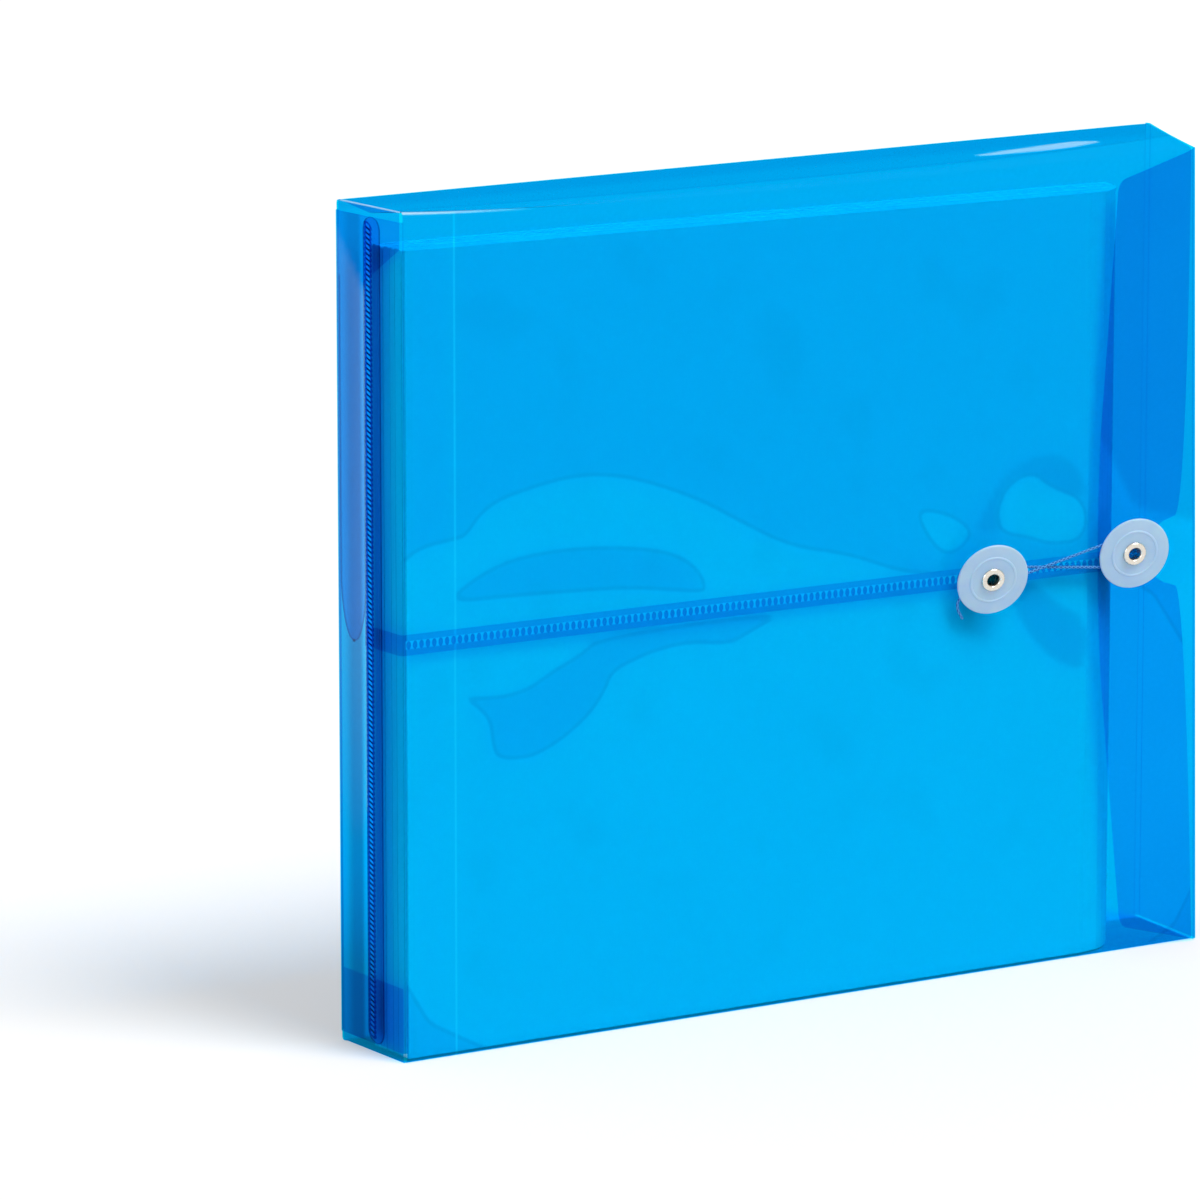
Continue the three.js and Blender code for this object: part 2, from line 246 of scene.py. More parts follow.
# Sizes of the film's clouds, ripples and grain, in mm
CLOUD_SIZE = 45
RIPPLE_SIZE = 14
GRAIN_SIZE = 0.6
GRAIN_SHARE = 0.02


def front_tone(tree):
    """The front's blue: painted lighter where the film clings to the sheets, with painted shade at
    the rim of each contact, and marked by the lap, the weld's band and the score line."""
    # Painted light where the film clings, and painted shade round each contact
    cling = painted(tree, "cling")
    touching = ramp(tree, cling, -CONTACT_BLUR, CONTACT_BLUR)
    base = mix_colour(tree, touching, FILM_LOOSE, FILM_CLING_PAINTED_LIGHT)
    from_rim = maths(tree, "ABSOLUTE", maths(tree, "ADD", cling, CONTACT_BLUR))
    rim = ramp(tree, from_rim, *CONTACT_RIM, CONTACT_RIM_STRENGTH, 0)
    base = mix_colour(tree, rim, base, FILM_PAINTED_SHADE)
    part = node(tree, "ShaderNodeSeparateXYZ", Vector=object_point(tree))
    at_front = ramp(tree, part.outputs[1], FRONT + 1.5 * MM, FRONT + 1 * MM)
    from_seam = maths(tree, "ABSOLUTE", maths(tree, "SUBTRACT", part.outputs[2], SEAM_Z))
    from_score = maths(tree, "ABSOLUTE", maths(tree, "SUBTRACT", part.outputs[0], SCORE_X))
    marks = (
        (from_seam, LAP, LAP_BLUR, 0.9, FILM_LAPPED),
        (from_seam, PRESSED_HALF, PRESSED_BLUR, 1, FILM_PRESSED),
        (from_score, SCORE_HALF, SCORE_BLUR, 0.9, FILM_SCORED),
    )
    for distance, half, blur, strength, tone in marks:
        inside = ramp(tree, distance, half + blur, half - blur, 0, strength)
        base = mix_colour(tree, maths(tree, "MULTIPLY", inside, at_front), base, tone)
    return base


def film_material(name="polypropylene_film", front=False, shade_tone=FILM_PAINTED_SHADE,
                  pass_colour=FILM_PASS):
    """Cast polypropylene sheet: a clear blue that deepens with each layer. Its mesh says where it
    is glossy or clings, and where it is painted with shade or with pale, less clear highlights."""
    material, tree, output = new_material(name)
    if front:
        base = front_tone(tree)
    else:
        cloud = ramp(tree, noise(tree, CLOUD_SIZE), 0.35, 0.65)
        base = mix_colour(tree, cloud, FILM_TINT, FILM_CLOUD)
    # Painted shade, then painted highlights and reflections, which also let less light through
    base = mix_colour(tree, painted(tree, "deep"), base, shade_tone)
    white = painted(tree, "white")
    base = mix_colour(tree, white, base, FILM_PAINTED_HIGHLIGHT)
    grain = noise(tree, GRAIN_SIZE, 1)
    height = maths(tree, "ADD", noise(tree, RIPPLE_SIZE),
                   maths(tree, "MULTIPLY", grain, GRAIN_SHARE))
    bump = node(tree, "ShaderNodeBump", Strength=0.3, Distance=0.5 * MM, Height=height)
    clear = ramp(tree, white, 0, 1, 1, 0.25)
    shader = node(tree, "ShaderNodeBsdfPrincipled", Base_Color=base, Normal=bump.outputs[0],
                  Roughness=0.12, IOR=FILM_IOR, Transmission_Weight=clear,
                  Coat_Weight=painted(tree, "gloss"), Coat_Roughness=0.14,
                  Coat_Normal=bump.outputs[0])
    see_through(tree, output, shader.outputs[0], pass_colour)
    return material


def weld_material(name, tint, lighter):
    """Film pressed by a toothed ultrasonic tool: thicker there, so a deeper blue."""
    material, tree, output = new_material(name)
    base = mix_colour(tree, noise(tree, 1.4, 1), tint, lighter)
    bump = node(tree, "ShaderNodeBump", Strength=0.3, Distance=0.1 * MM,
                Height=noise(tree, 0.5, 2))
    shader = node(tree, "ShaderNodeBsdfPrincipled", Base_Color=base, Normal=bump.outputs[0],
                  Roughness=0.2, IOR=WELD_IOR, Transmission_Weight=1, Coat_Weight=0.04)
    see_through(tree, output, shader.outputs[0], colour("00D8F8"))
    return material


def disc_material():
    """Natural polyethylene, injection moulded: milky, letting a cool light through."""
    material, tree, output = new_material("moulded_polyethylene")
    cloud = noise(tree, 5, 3)
    base = mix_colour(tree, cloud, colour("B6DAFF"), colour("CEEBFF"))
    fine = noise(tree, 0.35, 2)
    bump = node(tree, "ShaderNodeBump", Strength=0.15, Distance=0.05 * MM, Height=fine)
    shader = node(tree, "ShaderNodeBsdfPrincipled", Base_Color=base, Normal=bump.outputs[0],
                  Roughness=0.38, IOR=1.51, Transmission_Weight=0.15, Subsurface_Weight=0.3,
                  Subsurface_Scale=0.8 * MM)
    see_through(tree, output, shader.outputs[0], colour("C4D4E6"))
    return material


def washer_material():
    """Thin washer of natural plastic behind the eyelet, plain and matt."""
    material, tree, output = new_material("natural_plastic_washer")
    base = mix_colour(tree, noise(tree, 0.8, 3), colour("CDD8E4"), colour("E2EAF2"))
    shader = node(tree, "ShaderNodeBsdfPrincipled", Base_Color=base, Roughness=0.6)
    tree.links.new(shader.outputs[0], output.inputs["Surface"])
    return material


def nickel_material():
    """Nickel plated brass, rolled over: bright, warm grey, with fine tool marks."""
    material, tree, output = new_material("nickel_plate")
    base = mix_colour(tree, noise(tree, 1.5, 2), colour("D8D0C2"), colour("EDE6DA"))
    marks = noise(tree, 0.25, 2)
    bump = node(tree, "ShaderNodeBump", Strength=0.2, Distance=0.03 * MM, Height=marks)
    rough = ramp(tree, noise(tree, 0.8, 2), 0.3, 0.7, 0.18, 0.32)
    shader = node(tree, "ShaderNodeBsdfPrincipled", Base_Color=base, Normal=bump.outputs[0],
                  Roughness=rough, Metallic=1)
    tree.links.new(shader.outputs[0], output.inputs["Surface"])
    return material


STRANDS_ROUND = 3
# Length over which a strand of the braid goes once round the cord
BRAID_TURN = 1.6 * MM


def string_material():
    """Braided polyester cord: strands cross at a slant, painted pale on their crowns as highlights."""
    material, tree, output = new_material("braided_polyester")
    uv = node(tree, "ShaderNodeUVMap").outputs[0]
    part = node(tree, "ShaderNodeSeparateXYZ", Vector=uv)
    turns = maths(tree, "MULTIPLY", part.outputs[0], 2 * math.pi * STRANDS_ROUND)
    run = maths(tree, "MULTIPLY", part.outputs[1], 2 * math.pi)
    one = maths(tree, "SINE", maths(tree, "ADD", turns, run))
    two = maths(tree, "SINE", maths(tree, "SUBTRACT", turns, run))
    weave = maths(tree, "MAXIMUM", one, two)
    # Painted highlight on the crowns of the strands
    base = mix_colour(tree, ramp(tree, weave, 0.1, 1), colour("0C50AC"), colour("62B4EE"))
    bump = node(tree, "ShaderNodeBump", Strength=0.6, Distance=0.08 * MM, Height=weave)
    shader = node(tree, "ShaderNodeBsdfPrincipled", Base_Color=base, Normal=bump.outputs[0],
                  Roughness=0.65, Specular_IOR_Level=0.2)
    tree.links.new(shader.outputs[0], output.inputs["Surface"])
    return material


def paper_material():
    """Uncoated white sheets: matt, with the fine lines of their cut edges."""
    material, tree, output = new_material("uncoated_paper")
    base = mix_colour(tree, noise(tree, 60, 2), colour("DDE1E8"), colour("E4E7ED"))
    lines = noise(tree, 0.5, 1, stretch=(0.02, 1, 0.02))
    base = mix_colour(tree, ramp(tree, lines, 0.55, 0.75, 0, 0.18), base, colour("C9D0D8"))
    bump = node(tree, "ShaderNodeBump", Strength=0.4, Distance=0.1 * MM, Height=lines)
    shader = node(tree, "ShaderNodeBsdfPrincipled", Base_Color=base, Normal=bump.outputs[0],
                  Roughness=0.9, Specular_IOR_Level=0.2)
    tree.links.new(shader.outputs[0], output.inputs["Surface"])
    return material


FILM_PLAIN = film_material()
FILM_FRONT = film_material("polypropylene_film_front", front=True)
FILM_END = film_material("polypropylene_film_end", shade_tone=FILM_END_PAINTED_SHADE, pass_colour=FILM_END_PASS)
SEAM_WELD = weld_material("ultrasonic_weld_seam", colour("00B8EC"), colour("00C6F2"))
END_WELD = weld_material("ultrasonic_weld_end", colour("0080D4"), colour("0098E0"))
DISC = disc_material()
WASHER = washer_material()
NICKEL = nickel_material()
STRING = string_material()
PAPER = paper_material()


# Mesh helpers

def new_piece(name, vertices, faces, material, smooth=True, sharp=40, values=None):
    """A mesh object. Values are named lists with one number for each vertex."""
    mesh = bpy.data.meshes.new(name)
    mesh.from_pydata([tuple(v) for v in vertices], [], faces)
    for key, numbers in (values or {}).items():
        layer = mesh.attributes.new(key, "FLOAT", "POINT")
        layer.data.foreach_set("value", np.asarray(numbers, np.float32).ravel())
    shell = bmesh.new()
    shell.from_mesh(mesh)
    bmesh.ops.remove_doubles(shell, verts=shell.verts, dist=1e-7)
    bmesh.ops.recalc_face_normals(shell, faces=shell.faces)
    shell.to_mesh(mesh)
    shell.free()
    if smooth:
        mesh.shade_smooth()
        mesh.set_sharp_from_angle(angle=math.radians(sharp))
    mesh.materials.append(material)
    piece = bpy.data.objects.new(name, mesh)
    bpy.context.scene.collection.objects.link(piece)
    return piece


def finish_piece(piece, slot, body, *nodes):
    """Hides the parts that a piece stands for and hangs it on the body that carries it. Its
    slot for a finish is not used.
    """
    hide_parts(*nodes)
    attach(piece, body)


def settle(points):
    """How the soft pocket stands: its front top edge sags, most at two fifths of its length, its
    rear one rises to the mouth, and the mouth leans a little at the front."""
    p = np.array(points, float)
    t = np.clip((p[..., 0] - END) / (MOUTH - END), 0, 1)
    b = np.clip((p[..., 1] - FRONT) / (BACK - FRONT), 0, 1)
    h = p[..., 2] / TOP
    crown = np.clip((h - CROWN) / (1 - CROWN), 0, 1) ** 2
    p[..., 2] -= FRONT_EDGE_SAG * np.sin(math.pi * t ** 0.75) * (1 - b) * crown
    p[..., 2] += REAR_EDGE_RISE * t * b * crown
    p[..., 0] -= MOUTH_LEAN * (h - 0.5) * t * (1 - b)
    return p


PLAIN_GLOSS = 0.02


def film_piece(name, outer, material=FILM_PLAIN, **painted_values):
    """A closed shell of film. Outer is a grid of points on its outer face, whose rows run so
    that row step x column step points outwards. Painted values are grids of its size."""
    grid = settle(outer)
    rows, columns = grid.shape[:2]
    along_rows, along_columns = np.gradient(grid, axis=0), np.gradient(grid, axis=1)
    normal = np.cross(along_rows, along_columns)
    length = np.linalg.norm(normal, axis=-1, keepdims=True)
    normal = normal / np.maximum(length, 1e-15)
    inner = grid - normal * SHEET
    vertices = np.concatenate([grid.reshape(-1, 3), inner.reshape(-1, 3)])
    count = rows * columns
    faces = []
    for i in range(rows - 1):
        for j in range(columns - 1):
            a, b = i * columns + j, (i + 1) * columns + j
            faces.append((a, b, b + 1, a + 1))
            faces.append((a + count, a + 1 + count, b + 1 + count, b + count))
    rim = list(range(columns))
    rim += [i * columns + columns - 1 for i in range(1, rows)]
    rim += [(rows - 1) * columns + j for j in range(columns - 2, -1, -1)]
    rim += [i * columns for i in range(rows - 2, 0, -1)]
    for a, b in zip(rim, rim[1:] + rim[:1]):
        faces.append((a, b, b + count, a + count))
    painted_values.setdefault("gloss", np.full((rows, columns), PLAIN_GLOSS))
    values = {key: np.tile(np.ravel(shade), 2) for key, shade in painted_values.items()}
    return new_piece(name, vertices, faces, material, values=values)


def steps(start, end, spacing, closed=True):
    """Evenly spaced values from start to end, with end only where closed."""
    count = max(1, math.ceil(abs(end - start) / spacing))
    values = np.linspace(start, end, count + 1)
    return list(values if closed else values[:-1])


def fold(corner, before, after, radius=FOLD, count=6):
    """Points of a rounded fold at a corner between two directions, each a 2D unit vector."""
    corner, before, after = (np.array(v, float) for v in (corner, before, after))
    start, end = corner - before * radius, corner + after * radius
    shares = np.linspace(0, 1, count + 1)
    return [(1 - u) ** 2 * start + 2 * u * (1 - u) * corner + u ** 2 * end for u in shares]


# Where the front clings to the sheets behind it, in mm from the left edge and the floor

CLING_TOP = [
    (0, 146), (6, 150.5), (18.5, 152), (22.2, 152.5), (27, 158.4), (33.7, 162.2), (47.3, 165),
    (57.6, 166.4), (67.9, 166.3), (81.8, 163.6), (102.8, 155.7), (117, 147.8), (134.9, 138.6),
    (156.5, 134.1), (173, 127.7), (185.9, 125.2), (200, 124), (285, 118), (300, -20), (-10, -20),
    (-10, 146),
]
LOOSE_UPPER = [
    (18.4, 136.9), (33.7, 144.1), (50.7, 145.9), (67.9, 145.4), (85.3, 143.2), (95.8, 140.1),
    (102.9, 134.9), (105.7, 128.1), (99.4, 128.7), (81.8, 131.4), (67.9, 132.5), (33.6, 133.6),
    (18.4, 133.7),
]
LOOSE_LOWER = [
    (67.9, 118.6), (61, 114), (50.7, 110), (43.8, 106.1), (33.6, 104.5), (20.7, 105.9),
    (26.7, 101.5), (30.1, 97.6), (30.8, 90.7), (32.5, 86.1), (43.8, 85.1), (54.1, 89),
    (64.5, 95.8), (70, 102.6), (72.1, 107.7), (81.9, 110.9), (88.9, 112.5), (99.4, 113.5),
    (113.6, 111.4), (120.7, 114.3), (135, 119.7),
]
CLING_LEAF = [
    (181.3, 144.8), (187.5, 144.2), (194.9, 141.6), (201.3, 136.8), (196.9, 132.3),
    (191.3, 131.3), (185.8, 136.4),
]
CLING_BLOB = [
    (210.9, 141), (213.4, 147.8), (219, 151.6), (225, 152.3), (230.3, 147.8), (243.6, 142.6),
    (243.8, 130.8), (230.5, 130.6), (223, 133.5), (212.8, 135.7),
]
# Patches of painted shade by the contacts: a crescent beside the blob and a ring below it
PAINTED_SHADE_CRESCENT = [
    (202.4, 136.7), (206, 142.4), (211.5, 151.1), (218.9, 156.2), (230.1, 158.2), (237.7, 156),
    (243.5, 149.4), (243.6, 142.6), (230.3, 147.8), (225, 152.3), (219, 151.6), (213.4, 147.8),
    (210.9, 141), (212.8, 135.7),
]
PAINTED_SHADE_RING = [
    (216.8, 118.1), (218.8, 108.7), (225.3, 100.3), (233, 93.6), (244.5, 89.3), (244.2, 106.1),
    (234.6, 110.7), (228.9, 115.7), (223.2, 119.3),
]
PAINTED_SHADE_STRENGTH = 0.6
# A depth, in mm, that is far outside every contact
NO_CONTACT = -9


def cut_corners(outline):
    """The outline with its corners cut off, so that it runs round."""
    points = np.array(outline, float)
    following = np.roll(points, -1, 0)
    both = np.stack([0.75 * points + 0.25 * following, 0.25 * points + 0.75 * following], 1)
    return both.reshape(-1, 2)


def depth_in(x, z, outline):
    """How far points lie inside a rounded outline, in mm, and negative outside."""
    points = cut_corners(cut_corners(outline))
    nearest = np.full(x.shape, np.inf)
    inside = np.zeros(x.shape, bool)
    for (ax, az), (bx, bz) in zip(points, np.roll(points, -1, 0)):
        dx, dz = bx - ax, bz - az
        share = np.clip(((x - ax) * dx + (z - az) * dz) / (dx ** 2 + dz ** 2), 0, 1)
        nearest = np.minimum(nearest, np.hypot(x - ax - share * dx, z - az - share * dz))
        crosses = ((az > z) != (bz > z)) & (x < ax + (z - az) * dx / (dz if dz else 1e-9))
        inside ^= crosses
    return np.where(inside, nearest, -nearest)


def soft(depth, width=1.0):
    """From 0 to 1 as a depth goes from -width to width."""
    t = np.clip((depth / width + 1) / 2, 0, 1)
    return t * t * (3 - 2 * t)


def front_patches(x, z):
    """Contact, as a signed depth, and painted shade for points on the front."""
    cling = depth_in(x, z, CLING_TOP)
    for loose in (LOOSE_UPPER, LOOSE_LOWER):
        cling = np.minimum(cling, -depth_in(x, z, loose))
    for touching in (CLING_LEAF, CLING_BLOB):
        cling = np.maximum(cling, depth_in(x, z, touching))
    deep = np.maximum(soft(depth_in(x, z, PAINTED_SHADE_CRESCENT)), soft(depth_in(x, z, PAINTED_SHADE_RING)))
    return cling, PAINTED_SHADE_STRENGTH * deep


# The welded tube: front lap, bottom gusset, back panel, top gusset and front again

MOUTH_SETBACK = 1 * MM
THUMB_RADIUS = 10.5 * MM
MOUTH_HOLLOW = 6.7 * MM
HOLLOW_BOW = 0.6
# A painted reflection on the top gusset: a pale slit, in mm from the left edge and the front
PAINTED_REFLECTION_SLIT = [
    (214, 21.5), (227.5, 23.2), (243, 24), (256, 24.6), (261.2, 23), (266.2, 21.1),
    (256.3, 19.6), (248.1, 19.3), (236, 19.8), (225.1, 20.2),
]
SLIT_STRENGTH = 0.7
# The top gusset's rear slope is painted a deeper blue than its front one, as shade
SLOPE_PAINTED_SHADE = 0.6
# The front top fold carries a painted highlight from the closed end as far as this, in mm
WHITE_FOLD_REACH = 46
WHITE_FOLD_HALF = 0.7
WHITE_FOLD_INSET = 0.3 * MM
WHITE_STRENGTH = 0.85
# Rows lie close together where the front is painted, and from this height to the top
PATCH_LOW = 80 * MM
PATCH_HIGH = 170 * MM
CROWN_ROWS = 0.88 * TOP
FINE = 1.5 * MM
MEDIUM = 4 * MM
COARSE = 6 * MM
TUBE_COLUMNS = 144


def tube_section():
    """Points in y and z round the tube, each with the panel that it is on."""
    section = [(LOWER_FACE, z, "lower") for z in steps(SEAM_Z + LAP, PATCH_LOW, FINE, False)]
    section += [(LOWER_FACE, z, "lower") for z in steps(PATCH_LOW, FOLD, MEDIUM, False)]
    section += [(*p, "lower") for p in fold((LOWER_FACE, 0), (0, -1), (1, 0))]
    for y in steps(LOWER_FACE + 2 * FOLD, BACK - 2 * FOLD, MEDIUM):
        section.append((y, 0, "gusset"))
    section += [(*p, "back") for p in fold((BACK, 0), (1, 0), (0, 1))]
    section += [(BACK, z, "back") for z in steps(FOLD + FINE, CROWN_ROWS, COARSE, False)]
    section += [(BACK, z, "back") for z in steps(CROWN_ROWS, TOP - 2 * FOLD, FINE)]
    section += [(*p, "back") for p in fold((BACK, TOP), (0, 1), (-1, 0))]
    for y in steps(BACK - 2 * FOLD, FRONT + 2 * FOLD, 1 * MM):
        dip = GUSSET_SAG * (1 - abs(2 * (y - FRONT) / (BACK - FRONT) - 1))
        section.append((y, TOP - dip, "gusset"))
    section += [(*p, "upper") for p in fold((FRONT, TOP), (-1, 0), (0, -1))]
    section += [(FRONT, z, "upper") for z in steps(TOP - 2 * FOLD, CROWN_ROWS, FINE, False)]
    section += [(FRONT, z, "upper") for z in steps(CROWN_ROWS, PATCH_HIGH, MEDIUM, False)]
    section += [(FRONT, z, "upper") for z in steps(PATCH_HIGH, SEAM_Z - LAP, FINE)]
    return section


def mouth_edge(z):
    """Where the front panel ends: a hollow edge with a thumb notch at mid height."""
    rise = abs(z - TOP / 2)
    base = MOUTH - MOUTH_SETBACK
    if rise < THUMB_RADIUS:
        return base - MOUTH_HOLLOW - math.sqrt(THUMB_RADIUS ** 2 - rise ** 2)
    share = (rise - THUMB_RADIUS) / (TOP / 2 - THUMB_RADIUS)
    k = math.sqrt(share)
    return base - MOUTH_HOLLOW * ((1 - k) ** 2 + HOLLOW_BOW * (1 - k) * k)


def panel_stop(place, y, z):
    """Where a row of the tube ends at the mouth."""
    if place == "back":
        return MOUTH + MOUTH_SLANT - CREASE
    if place == "gusset":
        return MOUTH - MOUTH_SETBACK + MOUTH_SLANT * (y - FRONT) / (BACK - FRONT)
    return mouth_edge(z)


def tube_points():
    """The tube's outer face: a row of points from the closed end to the mouth for each point
    of its section."""
    starts = {"back": END + 0.4 * FOLD, "upper": END + STEP + FOLD, "lower": END + 2 * STEP + FOLD,
              "gusset": END + 3 * STEP + FOLD / 2}
    shares = np.linspace(0, 1, TUBE_COLUMNS)
    outer = []
    for y, z, place in tube_section():
        start, stop = starts[place], panel_stop(place, y, z)
        dip = TOP - z if place == "gusset" and z > TOP / 2 else 0
        outer.append([(start + (stop - start) * s, y, z + dip * s ** DIP_FADE) for s in shares])
    return np.array(outer)


def fold_painted_highlight(y, z, from_end):
    """The top front fold, painted pale as a highlight near the closed end."""
    off = np.abs(y - FRONT - WHITE_FOLD_INSET) + np.abs(z - TOP + WHITE_FOLD_INSET)
    near_end = np.clip(1 - from_end / WHITE_FOLD_REACH, 0, 1) ** 0.6
    return soft(WHITE_FOLD_HALF - off / MM, 0.5) * near_end


def gusset_painted_shade(y):
    """Painted shade on the top gusset: on its rear slope, and most on its crease."""
    from_crease = (y - (FRONT + BACK) / 2) / MM
    slopes = SLOPE_PAINTED_SHADE * soft(from_crease, 0.6) + soft(0.6 - abs(from_crease), 0.5)
    return np.minimum(slopes, 1)


def build_tube():
    outer = tube_points()
    y, z = outer[..., 1], outer[..., 2]
    from_end = (outer[..., 0] - END) / MM
    on_front = y < LOWER_FACE + 0.01 * MM
    on_top = z > TOP - GUSSET_SAG - 0.5 * MM
    cling, deep = front_patches(from_end, z / MM)
    slit = depth_in(from_end, (y - FRONT) / MM, PAINTED_REFLECTION_SLIT)
    # Painted highlight along the front top fold, and a painted reflection in the gusset's slit
    white = np.maximum(fold_painted_highlight(y, z, from_end), SLIT_STRENGTH * on_top * soft(slit, 0.6))
    in_gusset = (y > FRONT + 2 * MM) & (y < BACK - 2 * MM)
    tube = film_piece("film_tube", outer, FILM_FRONT, cling=np.where(on_front, cling, NO_CONTACT),
                      deep=np.where(on_front, deep, on_top * gusset_painted_shade(y)),
                      white=WHITE_STRENGTH * white,
                      gloss=np.where(in_gusset, 0, PLAIN_GLOSS))
    finish_piece(tube, "film", "root", "back_panel", "front_panel_upper", "front_panel_lower",
                 "top_gusset", "bottom_gusset")


build_tube()


# The closed end: flaps folded over it, tucks inside

END_INSET = low("end_flap_rear").z
END_CORNER = 4 * MM
CORNER_STEPS = 6
END_WELD_Y = middle("end_weld").y
END_WELD_HALF = 2.2 * MM
FILLING_DEPTH = high("document_bundle_rear").y - FRONT
END_COLUMNS = 26
# A cut edge gets a line of painted shade as far in as the first of these, and is plain from the second
# on
EDGE_LINE = (0.35 * MM, 0.8 * MM)
# The rear flap's painted shade weakens this close to its fold, and above this height
DIM_FROM_FOLD = 6 * MM
DIM_TOP = 232 * MM
DIM_LOST_AT_FOLD = 0.75
DIM_LOST_AT_TOP = 0.5
# Its gloss: the slant line above it, the heights over which it grows, and its strengths
SHEEN_TOP = 240 * MM
SHEEN_SLOPE = 1.1
SHEEN_FOOT = (60 * MM, 130 * MM)
SHEEN_AT_FOLD = 0.3
SHEEN_GAIN_AT_WELD = 0.6
SHEEN_LEAST = 0.1
# A painted highlight: a pale fringe along the weld, only where the flap is glossy
FRINGE_FROM_WELD = 0.3 * MM
FRINGE_HALF = 0.5 * MM
FRINGE_STRENGTH = 0.4


def rounded(z, z0, z1, corner):
    """How far an edge steps back at height z, on a strip from z0 to z1 with round corners."""
    gap = min(z - z0, z1 - z)
    if gap >= corner:
        return 0
    return corner - math.sqrt(max(0, corner ** 2 - (corner - gap) ** 2))


def end_levels(z0, z1):
    """Heights of a flap's rows, close together at its round corners."""
    fine = [k * END_CORNER / CORNER_STEPS for k in range(CORNER_STEPS)]
    return ([z0 + v for v in fine] + steps(z0 + END_CORNER, z1 - END_CORNER, 3 * MM)
            + [z1 - v for v in reversed(fine)])


def end_sheen(outer):
    """Gloss of the outermost flap, which mirrors the room behind its weld, below a slant line."""
    y, z = outer[..., 1], outer[..., 2]
    below = soft(SHEEN_TOP - (BACK - y) * SHEEN_SLOPE - z, 3 * MM)
    t = np.clip((z - SHEEN_FOOT[0]) / (SHEEN_FOOT[1] - SHEEN_FOOT[0]), 0, 1)
    to_weld = np.clip((BACK - y) / (BACK - END_WELD_Y), 0, 1)
    behind = soft(y - END_WELD_Y - END_WELD_HALF, 0.5 * MM)
    strength = SHEEN_AT_FOLD + SHEEN_GAIN_AT_WELD * to_weld ** 2
    return PLAIN_GLOSS + below * t * behind * strength


def end_painted_shade(outer):
    """Painted shade on the outermost flap behind the filling, standing in for the light lost
    there at a flat angle; less at its fold and near its top."""
    y, z = outer[..., 1], outer[..., 2]
    behind = soft((y - FRONT - FILLING_DEPTH) / MM, 1)
    at_fold = soft((y - BACK + DIM_FROM_FOLD) / MM, 3)
    at_top = soft((z - DIM_TOP) / MM, 10)
    return behind * (1 - DIM_LOST_AT_FOLD * at_fold) * (1 - DIM_LOST_AT_TOP * at_top)


def end_flap(name, layer, side, corner_y, z0, z1, round_low=True, round_high=True):
    """A flap that comes round the pocket's corner and lies over the end. Side is 1 for one that
    comes from the front, and -1 from the back."""
    face = END + layer * STEP
    free = high(name).y if side > 0 else low(name).y
    outer = []
    for z in end_levels(z0, z1):
        lower, upper = z - z0 < END_CORNER, z1 - z < END_CORNER
        back_off = rounded(z, z0, z1, END_CORNER)
        if (lower and not round_low) or (upper and not round_high):
            back_off = 0
        tip = free - side * back_off
        points = [(x, y, z) for x, y in fold((face, corner_y), (-1, 0), (0, side))]
        start, stop = corner_y + side * 1.3 * FOLD, tip - side * EDGE_LINE[1]
        points += [(face, y, z) for y in np.linspace(start, stop, END_COLUMNS)]
        points += [(face, tip - side * EDGE_LINE[0], z), (face, tip, z)]
        outer.append(points)
    outer = np.array(outer)
    # Painted shade: a dark line along the flap's cut edge
    edge = np.zeros(outer.shape[:2])
    edge[:, -2:] = 1
    if side > 0:
        outer, edge = outer[::-1], edge[::-1]
    values = {"deep": edge}
    if layer == 0:
        gloss = end_sheen(outer)
        off = np.abs(outer[..., 1] - END_WELD_Y - END_WELD_HALF - FRINGE_FROM_WELD)
        fringe = FRINGE_STRENGTH * soft(FRINGE_HALF - off, FRINGE_HALF)
        values = {"gloss": gloss, "deep": np.maximum(edge, end_painted_shade(outer)),
                  "white": fringe * (gloss > SHEEN_LEAST)}
    finish_piece(film_piece("film_" + name, outer, FILM_END, **values), "film", "root", name)


end_flap("end_flap_rear", 0, -1, BACK, END_INSET, high("end_flap_rear").z)
end_flap("end_flap_front_upper", 1, 1, FRONT, SEAM_Z - LAP, high("end_flap_front_upper").z,
         round_low=False)
end_flap("end_flap_front_lower", 2, 1, LOWER_FACE, END_INSET, SEAM_Z + LAP, round_high=False)

TUCK_DROP = 22 * MM
TUCK_COLUMNS = 12
TONGUE_WIDTH = 14.3 * MM
TONGUE_TAPER = 20 * MM
# A painted highlight along the upper tuck's top fold: its strength, and how far down it reaches
TUCK_WHITE = 0.7
TUCK_WHITE_DROP = 0.35 * MM


